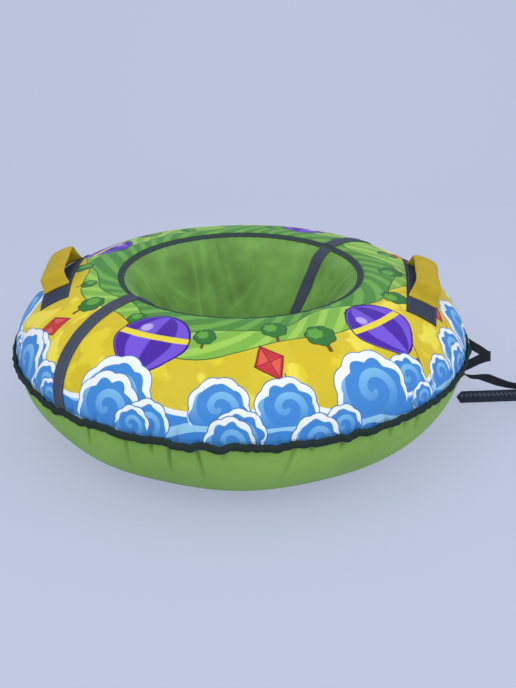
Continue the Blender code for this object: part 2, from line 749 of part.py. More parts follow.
def tow_strap():
    """Flat webbing from the rim to the ground, round in one loose loop and back."""
    points, length = smooth_route(TOW_ROUTE, TOW_POINT_SPACING)
    curve = bpy.data.curves.new("tow_strap", "CURVE")
    curve.dimensions = "3D"
    curve.twist_mode = "Z_UP"
    curve.extrude = (TOW_WEB_WIDTH - TOW_WEB_THICKNESS) / 2
    curve.bevel_depth = TOW_WEB_THICKNESS / 2
    curve.bevel_resolution = 0
    curve.use_fill_caps = True
    spline = curve.splines.new("POLY")
    spline.points.add(len(points) - 1)
    for point, (x, y, z, turn) in zip(spline.points, points):
        point.co = (x, y, z, 1)
        point.tilt = QUARTER * (1 - turn)
    print(f"tow strap: {length:.3f} m in {len(points)} points")
    return finish(place(bpy.data.objects.new("tow_strap", curve)), (30, 32, 42), 0.7)


def tow_strap_end():
    """The strap's end, folded over itself and sewn, with a slanting tip."""
    start = Vector(TOW_ROUTE[-1][:3])
    tip = Vector((*TOW_END_TIP, start.z))
    along = (tip - start).normalized()
    start += along * GAP
    length = (tip - start).length
    axes = frame_at(start, along, Z_AXIS)
    half = TOW_WEB_WIDTH / 2
    shoulder = length - TOW_END_POINT
    outline = [(0, -half), (shoulder, -half), (length, 0), (shoulder, half), (0, half)]
    sides = (-TOW_END_THICKNESS / 2, TOW_END_THICKNESS / 2)
    rings = [[axes @ Vector((x, y, z)) for x, z in outline] for y in sides]
    return finish(loft("tow_strap_end", rings), (44, 48, 62), 0.7)


# Zip


def zip_strip(low, high, lift):
    """Section of a strip along the zip, between two distances up the seat wall from its middle."""
    middle = (wall_radius(ZIP_HEIGHT), ZIP_HEIGHT)
    up = (math.cos(SEAT_WALL_SLOPE), math.sin(SEAT_WALL_SLOPE))
    ends = [(middle[0] + up[0] * s, middle[1] + up[1] * s) for s in (low, high)]
    return offset(ends, lift)


def zip_steps():
    return round((ZIP_END - ZIP_START) / FACET)


def zip_band(name, low, high, lift, thickness, colour, ends=0):
    """A strip along the zip, which stops short of both its ends by a number of the wall's facets."""
    strip = turned(name, zip_strip(low, high, lift), thickness, 1, start=ZIP_START + ends * FACET,
                   sweep=ZIP_END - ZIP_START - 2 * ends * FACET, steps=zip_steps() - 2 * ends)
    return finish(strip, colour, 0.7)


def zip_frame(azimuth, lift):
    """Axes on the zip's line: X along the zip, Y up the wall, Z into the seat."""
    radial = Vector((math.cos(azimuth), math.sin(azimuth), 0))
    inward = Z_AXIS * math.cos(SEAT_WALL_SLOPE) - radial * math.sin(SEAT_WALL_SLOPE)
    along = Z_AXIS.cross(radial) * -1
    point = radial * (wall_radius(ZIP_HEIGHT) * math.cos(FACET / 2)) + Z_AXIS * ZIP_HEIGHT
    return frame_at(point + inward * lift, along, inward)


def zip_stack():
    """How far the coils' upper side stands off the seat wall."""
    return GAP + ZIP_TAPE_THICKNESS + GAP + ZIP_COIL_THICKNESS


def slider_azimuth():
    """Middle of the first facet that the coils cover at the closed end."""
    return ZIP_END - 1.5 * FACET


def zip_parts():
    tape = (60, 66, 70)
    coil = (40, 44, 46)
    half = GAP / 2
    zip_band("zip_tape_upper", half, ZIP_TAPE_WIDTH, GAP, ZIP_TAPE_THICKNESS, tape)
    zip_band("zip_tape_lower", -ZIP_TAPE_WIDTH, -half, GAP, ZIP_TAPE_THICKNESS, tape)
    lift = 2 * GAP + ZIP_TAPE_THICKNESS
    zip_band("zip_coil_upper", half, ZIP_COIL_WIDTH, lift, ZIP_COIL_THICKNESS, coil, ends=1)
    zip_band("zip_coil_lower", -ZIP_COIL_WIDTH, -half, lift, ZIP_COIL_THICKNESS, coil, ends=1)


def pin_place():
    """Middle of the slider's cross pin in the slider's axes."""
    height = SLIDER_HEIGHT + EAR_HEIGHT - PULL_EYE_RADIUS
    return Vector((SLIDER_LENGTH / 2 - PULL_EYE_RADIUS, 0, height))


def zip_slider():
    """A body over the coils with two ears and a cross pin, turning with the zip's arc about Z."""
    holder = empty("zip_slider_axis", Matrix.Identity(4))
    axes = zip_frame(slider_azimuth(), zip_stack() + SLIDER_SEAT_GAP)
    size = (SLIDER_LENGTH, SLIDER_WIDTH, SLIDER_HEIGHT)
    body = block("zip_slider", size, (0, 0, SLIDER_HEIGHT / 2), axes)
    pin = pin_place()
    reach = Vector((0, PULL_WIDTH / 2 + GAP + EAR_THICKNESS / 2, 0))
    ear_size = (2 * (PULL_EYE_RADIUS - GAP), EAR_THICKNESS, EAR_HEIGHT + PIN_RADIUS)
    for side in (-1, 1):
        middle = (pin.x, side * reach.y, SLIDER_HEIGHT + (EAR_HEIGHT - PIN_RADIUS) / 2)
        ear = block(f"slider_ear_{side + 1}", ear_size, middle, axes, GUIDES)
        combine(body, ear, "UNION")
    combine(body, rod("slider_pin", PIN_RADIUS, pin - reach, pin + reach, axes, 8, GUIDES), "UNION")
    return finish(hold(body, holder), (120, 122, 128), 0.35, 1)


def zip_pull():
    """A tag that turns on the slider's pin and lies back over the slider."""
    axes = zip_frame(slider_azimuth(), zip_stack() + SLIDER_SEAT_GAP)
    holder = empty("zip_pull_axis", axes @ Matrix.Translation(pin_place()))
    half = Vector((0, PULL_WIDTH / 2, 0))
    past = Vector((0, CUT_OVERRUN, 0))
    pull = rod("zip_pull", PULL_EYE_RADIUS, -half, half)
    tag = block("pull_tag", (PULL_LENGTH, PULL_WIDTH, PULL_THICKNESS),
                (PULL_LENGTH / 2, 0, PULL_EYE_RADIUS - PULL_THICKNESS / 2), collection=GUIDES)
    eye = rod("pull_eye", PIN_RADIUS + GAP, -past, past, sides=12, collection=GUIDES)
    combine(pull, hold(tag, holder), "UNION")
    combine(pull, hold(eye, holder), "DIFFERENCE")
    return finish(hold(pull, holder), (120, 122, 128), 0.35, 1)


def zip_stops():
    """A small crimped block on the tapes just past each end of the coils."""
    lift = GAP + ZIP_TAPE_THICKNESS + GAP
    size = (ZIP_STOP_LENGTH, 2 * ZIP_COIL_WIDTH, ZIP_COIL_THICKNESS)
    reach = wall_radius(ZIP_HEIGHT) * math.sin(FACET / 2) - ZIP_STOP_LENGTH / 2 - GAP
    closed, opened = ZIP_END - FACET / 2, ZIP_START + FACET / 2
    for name, azimuth, x in (("zip_stop_closed", closed, reach), ("zip_stop_open", opened, -reach)):
        stop = block(name, size, (x, 0, ZIP_COIL_THICKNESS / 2), zip_frame(azimuth, lift))
        finish(stop, (120, 122, 128), 0.35, 1)


def build():
    for obj in list(bpy.data.objects):
        bpy.data.objects.remove(obj)
    for name in (COLLECTION, GUIDES):
        bpy.context.scene.collection.children.link(bpy.data.collections.new(name))
    top_cover()
    bottom_cover()
    seat_wall()
    seat_floor()
    seat_piping()
    rim_binding()
    cover_strap("strap_left", STRAP_AZIMUTH - HALF, STRAP_LEFT_SKEW)
    cover_strap("strap_right", STRAP_AZIMUTH, STRAP_RIGHT_SKEW)
    seat_strap()
    inner_tube()
    valve()
    handle("handle_right", HANDLE_RIGHT_AZIMUTH, HANDLE_RIGHT_SHIFT, HANDLE_RIGHT_OUTSET)
    handle("handle_left", HANDLE_LEFT_AZIMUTH, HANDLE_LEFT_SHIFT, HANDLE_LEFT_OUTSET)
    tow_loop()
    tow_strap()
    tow_strap_end()
    zip_parts()
    zip_slider()
    zip_pull()
    zip_stops()


build()
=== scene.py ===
# %% [markdown]
# # A child's snow tube
#
# A snow tube is a round rubber ring in a sewn fabric cover. A child sits in the sunken middle, holds the two
# padded grips and is pulled along by the strap. This file dresses the measured model of it, piece by piece:
# each cell says what a piece is on the real tube, how it could be made, and why it is made this way.

import math

import bmesh
import bpy
import numpy as np
from mathutils import Matrix, Vector


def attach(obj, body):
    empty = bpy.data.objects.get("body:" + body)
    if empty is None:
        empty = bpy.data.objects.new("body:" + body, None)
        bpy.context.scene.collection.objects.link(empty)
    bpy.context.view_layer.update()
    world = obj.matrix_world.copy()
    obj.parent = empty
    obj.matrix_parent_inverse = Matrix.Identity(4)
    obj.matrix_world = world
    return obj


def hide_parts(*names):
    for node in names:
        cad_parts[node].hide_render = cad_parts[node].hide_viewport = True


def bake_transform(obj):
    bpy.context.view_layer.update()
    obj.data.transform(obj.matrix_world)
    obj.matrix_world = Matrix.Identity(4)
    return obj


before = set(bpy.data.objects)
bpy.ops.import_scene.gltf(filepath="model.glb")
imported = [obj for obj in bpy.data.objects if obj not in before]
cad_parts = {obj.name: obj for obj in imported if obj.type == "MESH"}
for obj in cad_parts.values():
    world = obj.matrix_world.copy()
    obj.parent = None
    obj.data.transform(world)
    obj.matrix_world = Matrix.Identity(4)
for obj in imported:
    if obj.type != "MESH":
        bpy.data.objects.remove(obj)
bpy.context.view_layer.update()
TAU = 2 * math.pi
BODY = "tube"

# %% [markdown]
# ## Camera
#
# The photograph looks down at the tube from the front. The edge of the seat and the seam round the rim are both
# circles, and how flat their ellipses look gives the camera's height and distance. The lens follows from the
# length of one pixel, and the picture's middle lies a little off the camera's axis, which is the lens shift.

# %% Camera
PHOTO_LONG_SIDE = 688
FOCAL_PIXELS = 775.0
SENSOR = 36.0
CAMERA_PLACE = (0.0, -1.383, 0.777)
CAMERA_TILT = math.radians(26.08)
CAMERA_ROLL = math.radians(-0.41)
AXIS_OFF_CENTRE = (16.7, 8.0)


def linked(name, data):
    """A new object with this data, put in the scene."""
    made = bpy.data.objects.new(name, data)
    bpy.context.scene.collection.objects.link(made)
    return made


lens = bpy.data.cameras.new("camera")
lens.sensor_width = SENSOR
lens.lens = FOCAL_PIXELS / PHOTO_LONG_SIDE * SENSOR
lens.shift_x, lens.shift_y = (off / PHOTO_LONG_SIDE for off in AXIS_OFF_CENTRE)
camera = linked("camera", lens)
camera.matrix_world = (Matrix.Translation(CAMERA_PLACE) @ Matrix.Rotation(math.pi / 2 - CAMERA_TILT, 4, "X")
                       @ Matrix.Rotation(CAMERA_ROLL, 4, "Z"))
bpy.context.scene.camera = camera
print("lens, mm:", round(lens.lens, 2))

# %% [markdown]
# ## Grids of points
#
# Nearly every piece here is a strip or a skin with a thickness. Both are a grid of points, so two helpers make
# them all: one turns a grid into a surface, the other closes the space between two grids. Each also writes a UV
# map in metres, which lets a weave or a stitch keep its true size.

# %% Grids of points
SHARP = math.radians(50)


def new_piece(name, vertices, faces, uvs=None):
    """A smooth mesh object at the origin. uvs has one pair for each corner of each face."""
    mesh = bpy.data.meshes.new(name)
    mesh.from_pydata([tuple(v) for v in vertices], [], faces)
    if uvs is not None:
        mesh.uv_layers.new(name="UVMap").data.foreach_set("uv", np.array(uvs, dtype=np.float32).ravel())
    mesh.shade_smooth()
    mesh.set_sharp_from_angle(angle=SHARP)
    return linked(name, mesh)


def cells(rows, columns, closed):
    """Corner numbers of each cell of a grid, as (row, column) pairs; closed joins the last row to the first."""
    for i in range(rows if closed else rows - 1):
        for j in range(columns - 1):
            yield (i, j), (i + 1, j), (i + 1, j + 1), (i, j + 1)


def skin(name, points, uv, closed=False):
    """A surface through a grid of points. uv gives a pair for a row and a column."""
    rows, columns = points.shape[:2]
    faces, uvs = [], []
    for corners in cells(rows, columns, closed):
        faces.append([(i % rows) * columns + j for i, j in corners])
        uvs.extend(uv(i, j) for i, j in corners)
    return new_piece(name, points.reshape(-1, 3), faces, uvs)


def slab(name, top, bottom, uv, closed=False):
    """A closed solid between two grids of points, top and bottom."""
    rows, columns = top.shape[:2]
    last = columns - 1
    faces, uvs = [], []

    def add(corners, layers):
        faces.append([((i % rows) + layer * rows) * columns + j for (i, j), layer in zip(corners, layers)])
        uvs.extend(uv(i, j) for i, j in corners)

    def wall(a, b):
        add((a, a, b, b), (0, 1, 1, 0))

    for corners in cells(rows, columns, closed):
        add(corners, (0, 0, 0, 0))
        add(corners[::-1], (1, 1, 1, 1))
    for i in range(rows if closed else rows - 1):
        wall((i, 0), (i + 1, 0))
        wall((i + 1, last), (i, last))
    for j in range(0 if closed else last):
        wall((0, j + 1), (0, j))
        wall((rows - 1, j), (rows - 1, j + 1))
    return turned_outwards(new_piece(name, np.concatenate([top.reshape(-1, 3), bottom.reshape(-1, 3)]), faces, uvs))


def turned_outwards(piece):
    """The same closed piece, with all its faces turned over if they pointed inwards."""
    bm = bmesh.new()
    bm.from_mesh(piece.data)
    if bm.calc_volume(signed=True) < 0:
        bmesh.ops.reverse_faces(bm, faces=bm.faces)
        bm.to_mesh(piece.data)
    bm.free()
    return piece


def grid(rows, columns):
    """Two arrays that together give every pair of a row value and a column value."""
    return np.meshgrid(rows, columns, indexing="ij")


def travelled(points):
    """Distance travelled at each point of a line."""
    return np.concatenate([[0], np.cumsum(np.linalg.norm(np.diff(points, axis=0), axis=1))])


print("edges sharper than this stay hard, degrees:", round(math.degrees(SHARP)))

# %% [markdown]
# ## Finishing a mesh
#
# A piece that a modifier or a simulation has shaped is frozen to plain mesh, so that it looks the same each time.
# `dress` then gives it a material and the body that carries it, and hides the measured node that it stands for.


# %% Finishing a mesh
def frozen(piece):
    """The same piece with its modifiers turned into plain mesh."""
    mesh = bpy.data.meshes.new_from_object(piece.evaluated_get(bpy.context.evaluated_depsgraph_get()))
    piece.modifiers.clear()
    piece.data = mesh
    return piece


def corners_of(piece):
    return np.array([v.co for v in piece.data.vertices])


def lay_map(piece, place):
    """Write a map in metres: place turns an array of points into an array of pairs."""
    mesh = piece.data
    corners = np.zeros(len(mesh.loops), dtype=int)
    mesh.loops.foreach_get("vertex_index", corners)
    layer = mesh.uv_layers.get("UVMap") or mesh.uv_layers.new(name="UVMap")
    layer.data.foreach_set("uv", place(corners_of(piece))[corners].astype(np.float32).ravel())


def mark_fold_shade(piece, depth):
    """Store how deep each point lies in a fold, 0 to 1, for the shade that the materials paint into the folds."""
    values = np.clip(depth, 0, 1).astype(np.float32).ravel()
    piece.data.attributes.new("fold", "FLOAT", "POINT").data.foreach_set("value", values)


def dress(piece, material, slot, *nodes, body=BODY):
    """Give the piece its material and its body, and hide the measured nodes that it stands for. slot is not used."""
    piece.data.materials.clear()
    piece.data.materials.append(material)
    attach(piece, body)
    if nodes:
        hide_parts(*nodes)
    return piece


print("pieces ride on the body", BODY, "unless another is named")

# %% [markdown]
# ## Sums as nodes
#
# A pattern on cloth is sums, sines and distances. Writing it as Math nodes by hand is slow to read, so a small
# class lets plain Python arithmetic make the nodes: `a + b` adds a Math node and returns its output.


# %% Sums as nodes
class Field:
    """A value that changes over a surface or a shape: one output in a node tree."""

    def __init__(self, socket):
        self.socket = socket
        self.tree = socket.id_data

    def math(self, operation, *others, first=None):
        node = self.tree.nodes.new("ShaderNodeMath")
        node.operation = operation
        for socket, item in zip(node.inputs, (self, *others) if first is None else (first, self)):
            feed(item, socket)
        return Field(node.outputs[0])

    def __add__(self, other): return self.math("ADD", other)
    def __radd__(self, other): return self.math("ADD", other)
    def __sub__(self, other): return self.math("SUBTRACT", other)
    def __rsub__(self, other): return self.math("SUBTRACT", first=other)
    def __mul__(self, other): return self.math("MULTIPLY", other)
    def __truediv__(self, other): return self.math("DIVIDE", other)
    def sin(self): return self.math("SINE")
    def abs(self): return self.math("ABSOLUTE")
    def fract(self): return self.math("FRACT")
    def wrap(self, low, high): return self.math("WRAP", high, low)
    def least(self, other): return self.math("MINIMUM", other)
    def most(self, other): return self.math("MAXIMUM", other)
    def angle(self, other): return self.math("ARCTAN2", other)
    def above(self, level): return self.math("GREATER_THAN", level)

    def within(self, edge):
        """1 where this distance is below zero, 0 above, with a soft edge of the given width."""
        step = 0.5 - self / edge
        step.socket.node.use_clamp = True
        return step


def length(x, y):
    return (x * x + y * y).math("SQRT")


def feed(item, socket):
    """Put a value, or the output that a Field stands for, on a socket."""
    if isinstance(item, Field):
        socket.id_data.links.new(item.socket, socket)
    else:
        socket.default_value = item


def add_node(tree, kind, output=0, settings=(), **inputs):
    """Add a node with these settings and inputs, and give back one of its outputs."""
    node = tree.nodes.new(kind)
    for label, value in dict(settings).items():
        setattr(node, label, value)
    for label, item in inputs.items():
        feed(item, node.inputs[label.replace("_", " ")])
    return Field(node.outputs[output])


def split(vector):
    node = vector.tree.nodes.new("ShaderNodeSeparateXYZ")
    feed(vector, node.inputs[0])
    return [Field(output) for output in node.outputs]


def noise(vector, scale, detail=3.0, distortion=0.0):
    return add_node(vector.tree, "ShaderNodeTexNoise", "Fac", Vector=vector, Scale=scale, Detail=detail,
                    Distortion=distortion)


print("sums that a Field knows:", [name for name in vars(Field) if name[0] != "_"])

# %% [markdown]
# ## Colours and materials
#
# A colour is picked on a screen, but light adds up in linear values, so `linear` turns one into the other. A
# pattern is painted on with a mask: the new colour lies over the old one where the mask is 1. Threads are far
# finer than the mesh, so `emboss` only bends the light as if the surface rose there, by a depth in metres.


# %% Colours and materials
def linear(*channels):
    """A screen colour, 0 to 255, as the linear colour that a shader takes."""
    shares = [c / 255 for c in channels]
    return (*(s / 12.92 if s <= 0.04045 else ((s + 0.055) / 1.055) ** 2.4 for s in shares), 1.0)


def darker(colour, share):
    return linear(*(c * share for c in colour))


def paint(below, colour, mask):
    """Lay a colour over another where the mask is 1."""
    node = mask.tree.nodes.new("ShaderNodeMix")
    node.data_type = "RGBA"
    for number, item in ((0, mask), (6, below), (7, colour)):
        feed(item, node.inputs[number])
    return Field(node.outputs[2])


def new_material(name, roughness, metallic=0.0, **sockets):
    """A material, its shader's sockets, and a point's place in space and on its map."""
    material = bpy.data.materials.new(name)
    material.use_nodes = True
    shader = material.node_tree.nodes["Principled BSDF"].inputs
    for label, value in {"Roughness": roughness, "Metallic": metallic, **sockets}.items():
        shader[label.replace("_", " ")].default_value = value
    place = material.node_tree.nodes.new("ShaderNodeTexCoord").outputs
    return material, shader, Field(place["Object"]), Field(place["UV"])


def folds(tree):
    """The stored depth of the folds, which sets the shade painted into them, 0 where a piece has none."""
    return add_node(tree, "ShaderNodeAttribute", "Fac", {"attribute_name": "fold"})


def emboss(shader, height, depth):
    """Raise the surface by a height from 0 to 1 times a depth in metres."""
    feed(add_node(height.tree, "ShaderNodeBump", Height=height, Distance=depth), shader["Normal"])


print("mid grey on the screen, linear:", round(linear(128, 128, 128)[0], 3))

# %% [markdown]
# ## Shared groups
#
# All the fabrics have a weave, soft creases and a slightly uneven tone. Each of these is one node group with
# named inputs, placed in every material with that cloth's own values. The weave is two crossed rows of sines:
# a thread is high where it passes over its neighbour.

# %% Shared groups
OUTPUT_KINDS = {"Height": "Float", "Colour": "Color", "Geometry": "Geometry"}


def node_group(kind, name, inputs, output, rule):
    """A node group with named inputs and one output. inputs maps a name to its number or its kind of socket, and
    the rule works out the output from the inputs."""
    group = bpy.data.node_groups.new(name, kind)
    for label, given in inputs.items():
        number = isinstance(given, float)
        socket = group.interface.new_socket(label, in_out="INPUT",
                                            socket_type=f"NodeSocket{'Float' if number else given}")
        if number:
            socket.default_value = given
    group.interface.new_socket(output, in_out="OUTPUT", socket_type=f"NodeSocket{OUTPUT_KINDS[output]}")
    sources = group.nodes.new("NodeGroupInput").outputs
    result = rule(*(Field(sources[label]) for label in inputs))
    feed(result, group.nodes.new("NodeGroupOutput").inputs[output])
    return group


def weave_height(place, thread):
    """A plain weave, 0 to 1."""
    x, y, _ = split(place)
    return (x / thread * math.pi).sin() * (y / thread * math.pi).sin() * 0.5 + 0.5


def rib_height(place, rib):
    """Webbing, 0 to 1: fine ribs across it, in slanting rows."""
    along, across, _ = split(place)
    slant = (across / rib).fract() - 0.5
    rows = ((along + slant.abs() * rib) / rib * TAU).sin()
    return rows * 0.3 + 0.3 + (across / rib * math.pi).sin().abs() * 0.4


def crease_height(place, scale):
    """Soft creases, 0 to 1."""
    return ((noise(place, scale, 4.0, 0.8) - 0.5).abs() * 4.0).least(1.0)


def uneven(place, colour, scale, share):
    """A colour made darker and lighter by a share, in soft patches."""
    light = (noise(place, scale, 5.0) - 0.5) * share * 4.0 + 1.0
    node = place.tree.nodes.new("ShaderNodeVectorMath")
    node.operation = "SCALE"
    feed(colour, node.inputs[0])
    feed(light, node.inputs["Scale"])
    return Field(node.outputs[0])


def shader_group(name, inputs, output, rule):
    return node_group("ShaderNodeTree", name, inputs, output, rule)


WEAVE = shader_group("plain_weave", {"Map": "Vector", "Thread": 0.0006}, "Height", weave_height)
RIBS = shader_group("webbing_ribs", {"Map": "Vector", "Rib": 0.0016}, "Height", rib_height)
CREASES = shader_group("soft_creases", {"Vector": "Vector", "Scale": 20.0}, "Height", crease_height)
TONE = shader_group("uneven_tone", {"Vector": "Vector", "Colour": "Color", "Scale": 8.0, "Share": 0.1}, "Colour",
                    uneven)


def use(group, **inputs):
    """Place a shared group in the tree of its inputs, and return its output."""
    tree = next(item.tree for item in inputs.values() if isinstance(item, Field))
    return add_node(tree, "ShaderNodeGroup", settings={"node_tree": group}, **inputs)


print("shared groups:", [g.name for g in bpy.data.node_groups])

# %% [markdown]
# ## The section
#
# Cut the tube upright through its middle and every round piece shows as a line: the top cover from the seat's
# edge to the rim, the belly from the rim to the ground, and the seat wall. All tapes, straps and stitches lie on
# these lines. A `Section` gives, for a distance along the line, the point there and the direction off the cloth,
# so a strap is placed by saying how far along and how far off.


# %% The section
class Section:
    """A smooth line of (radius, height) points, measured by the distance along it."""

    def __init__(self, points):
        self.points = np.array(points)
        steps = np.diff(self.points, axis=0)
        self.along = travelled(self.points)
        self.length = self.along[-1]
        self.normals = np.stack([-steps[:, 1], steps[:, 0]], 1) / np.linalg.norm(steps, axis=1)[:, None]
        self.middles = (self.along[1:] + self.along[:-1]) / 2

    def radius(self, distance):
        return np.interp(distance, self.along, self.points[:, 0])

    def at(self, distance, lift=0.0):
        """Radius and height at a distance along the line and a lift off it, to the left of its direction."""
        distance = np.asarray(distance, float)
        over = distance - np.clip(distance, 0, self.length)
        z = np.interp(distance, self.along, self.points[:, 1])
        nr, nz = (np.interp(distance, self.middles, self.normals[:, k]) for k in (0, 1))
        size = np.hypot(nr, nz)
        nr, nz = nr / size, nz / size
        return self.radius(distance) + nr * lift + nz * over, z + nz * lift - nr * over


def arc(centre, across, up, start, end, steps):
    """Points on an ellipse in the section, between two angles counted from +R towards +Z."""
    turns = np.linspace(start, end, steps + 1)
    return list(zip(centre[0] + across * np.cos(turns), centre[1] + up * np.sin(turns)))


def around(radius, height, azimuth):
    """Points in space from radius, height and azimuth."""
    radius, height, azimuth = np.broadcast_arrays(radius, height, azimuth)
    return np.stack([radius * np.cos(azimuth), radius * np.sin(azimuth), height], -1)


print("a quarter circle of 1 m is this long, m:", round(Section(arc((0, 0), 1, 1, 0, TAU / 4, 90)).length, 4))

# %% [markdown]
# ## Lines of the three cloths
#
# The top cover is a short lip at the seat's edge and then a quarter of an ellipse from the crown to the rim. The
# belly is a quarter of another ellipse. The seat wall is a straight slope that rolls over into the lip. These few
# measures are the same as in the measured model, so the cloth lies on it.

# %% Lines of the three cloths
RIM_RADIUS = 0.425
RIM_HEIGHT = 0.153
CROWN_RADIUS = 0.2405
CROWN_HEIGHT = 0.276
GROUND_RADIUS = 0.270
SEAT_EDGE_RADIUS = 0.225
SEAT_EDGE_DROP = 0.0065
SEAT_ROLL_RADIUS = 0.050
SEAT_ROLL_START = math.radians(14.5)
SEAT_WALL_SLOPE = math.radians(62.5)
SEAT_FLOOR_HEIGHT = 0.075
ROLL_CENTRE = (SEAT_EDGE_RADIUS + SEAT_ROLL_RADIUS * math.sin(SEAT_ROLL_START),
               CROWN_HEIGHT - SEAT_EDGE_DROP - SEAT_ROLL_RADIUS * math.cos(SEAT_ROLL_START))
QUARTER = math.pi / 2


def top_section():
    """From the seat's edge over the crown to the rim. Off the line is outwards."""
    run = CROWN_RADIUS - SEAT_EDGE_RADIUS
    radius = (run ** 2 + SEAT_EDGE_DROP ** 2) / (2 * SEAT_EDGE_DROP)
    lip = arc((CROWN_RADIUS, CROWN_HEIGHT - radius), radius, radius, QUARTER + math.asin(run / radius), QUARTER, 12)
    outer = arc((CROWN_RADIUS, RIM_HEIGHT), RIM_RADIUS - CROWN_RADIUS, CROWN_HEIGHT - RIM_HEIGHT, QUARTER, 0, 160)
    return Section(lip + outer[1:])


def wall_radius(height):
    """Radius of the seat wall's straight part at a height."""
    r = ROLL_CENTRE[0] - SEAT_ROLL_RADIUS * math.sin(SEAT_WALL_SLOPE)
    z = ROLL_CENTRE[1] + SEAT_ROLL_RADIUS * math.cos(SEAT_WALL_SLOPE)
    return r - (z - height) / math.tan(SEAT_WALL_SLOPE)


def seat_section():
    """From the seat floor up the wall to the seat's edge. Off the line is into the seat."""
    roll = arc(ROLL_CENTRE, SEAT_ROLL_RADIUS, SEAT_ROLL_RADIUS, QUARTER + SEAT_WALL_SLOPE,
               QUARTER + SEAT_ROLL_START, 40)
    foot = (wall_radius(SEAT_FLOOR_HEIGHT), SEAT_FLOOR_HEIGHT)
    wall = [tuple(np.array(foot) + (np.array(roll[0]) - foot) * t) for t in np.linspace(0, 1, 30)[:-1]]
    return Section(wall + roll)


TOP, SEAT = top_section(), seat_section()
BELLY = Section(arc((GROUND_RADIUS, RIM_HEIGHT), RIM_RADIUS - GROUND_RADIUS, RIM_HEIGHT, 0, -QUARTER, 120))
print("length of the top, belly and seat lines, mm:", [round(s.length * 1000) for s in (TOP, BELLY, SEAT)])

# %% [markdown]
# ## Light and backdrop
#
# The photo is a plain product shot: soft light from above and the front, a pale lavender backdrop and one soft
# shadow under the tube. Large area lamps give soft light. The floor and backdrop are one curved sheet. Its colour
# is mixed with a faint glow, only for what the camera and reflections see, so it reads as empty and evenly lit
# while the shadow stays and no coloured light reaches the tube.

# %% Light and backdrop
LAMPS = (("key_light", (-0.9, -1.6, 2.6), 0.1, 2.2, 26, (1.0, 0.99, 0.97)),
         ("fill_light", (2.2, -1.2, 1.7), 0.1, 2.2, 16, (0.98, 0.98, 1.0)),
         ("back_light", (0.4, 2.3, 2.2), 0.15, 2.0, 7, (0.98, 0.98, 1.0)))
SKY_SEEN = linear(188, 191, 211)
SKY_GIVEN = linear(246, 247, 250)
SKY_STRENGTH = 0.86
GLOW_SHARE = 0.65
BEND_RADIUS = 2.0
BELOW_GROUND = 0.0005


def lamp(name, place, target_height, size, power, colour):
    """A square area lamp that points at the tube's middle."""
    light = bpy.data.lights.new(name, "AREA")
    light.size, light.energy, light.color = size, power, colour
    holder = linked(name, light)
    holder.location = place
    holder.rotation_euler = (Vector((0, 0, target_height)) - Vector(place)).to_track_quat("-Z", "Y").to_euler()


def show_mix(share, first, second, output):
    """Give the tree's output a mix of two shaders: the first where the share is 0, the second where it is 1."""
    mix = share.tree.nodes.new("ShaderNodeMixShader")
    for socket, item in zip(mix.inputs, (share, first, second)):
        feed(item, socket)
    feed(Field(mix.outputs[0]), output.inputs["Surface"])


def sky_light():
    """An even sky: one colour where the camera sees it, another where it lights the pieces."""
    world = bpy.data.worlds.new("studio")
    world.use_nodes = True
    tree = world.node_tree
    tree.nodes.clear()
    given, seen = (add_node(tree, "ShaderNodeBackground", Color=colour, Strength=power)
                   for colour, power in ((SKY_GIVEN, SKY_STRENGTH), (SKY_SEEN, 1.0)))
    show_mix(add_node(tree, "ShaderNodeLightPath", "Is Camera Ray"), given, seen,
             tree.nodes.new("ShaderNodeOutputWorld"))
    bpy.context.scene.world = world


def backdrop():
    """A floor that bends up into a wall, far behind the tube."""
    material, shader, place, _ = new_material("backdrop_paper", 0.9, Specular_IOR_Level=0.0)
    tree = place.tree
    feed(use(TONE, Vector=place, Colour=linear(194, 201, 223), Scale=0.8, Share=0.01), shader["Base Color"])
    path = tree.nodes.new("ShaderNodeLightPath").outputs
    camera_ray, glossy, through = (Field(path[f"Is {kind} Ray"]) for kind in ("Camera", "Glossy", "Transmission"))
    paper = Field(tree.nodes["Principled BSDF"].outputs[0])
    show_mix(camera_ray.most(glossy).most(through) * GLOW_SHARE, paper,
             add_node(tree, "ShaderNodeEmission", Color=linear(190, 198, 221)), tree.nodes["Material Output"])
    rows = [(y, 0.0) for y in (-5.0, -2.0, 0.0, 1.5)]
    rows += [(1.5 + BEND_RADIUS * math.sin(t), BEND_RADIUS - BEND_RADIUS * math.cos(t))
             for t in np.linspace(0, QUARTER, 16)[1:]]
    rows.append((3.5, 6.0))
    points = np.array([[(x, y, z - BELOW_GROUND) for x in (-6.0, -2.0, 2.0, 6.0)] for y, z in rows])
    sheet = skin("backdrop", points[:, ::-1], lambda i, j: points[i, j][:2])
    sheet.data.materials.append(material)


sky_light()
for row in LAMPS:
    lamp(*row)
backdrop()
bpy.context.scene.view_settings.view_transform = "Standard"

# %% [markdown]
# ## Cloth materials
#
# Each cloth is a colour, a weave of its own width and a little shine, with painted shade in its folds. Webbing has
# slanting ribs with painted shade between them, and the sewn end of the tow strap also shows a zigzag of paler
# thread, drawn as a colour because it is finer than a pixel. The printed top comes later, because its picture takes
# cells of its own.

# %% Cloth materials
WEBBINGS = {"slate_webbing": ((78, 84, 104), 0.0022), "base_webbing": ((60, 68, 92), 0.0030),
            "black_webbing": ((24, 28, 38), 0.0020), "sewn_webbing": ((54, 60, 76), 0.0020, (0.0092, 0.0052, 0.0034)),
            "binding_tape": ((40, 54, 52), 0.0024), "piping_tape": ((62, 78, 80), 0.0018),
            "zip_tape_cloth": ((62, 72, 74), 0.0012)}
THREADS = {"dark_thread": (44, 48, 58), "pale_thread": (104, 110, 126), "lime_thread": (120, 160, 84)}
SEAM_COLOUR = linear(118, 126, 142)
SEAM_HALF_WIDTH = 0.0010
SEAM_EDGE = 0.0006
CLOTH_SHINE = 0.12
RIB_DEPTH = 0.0004


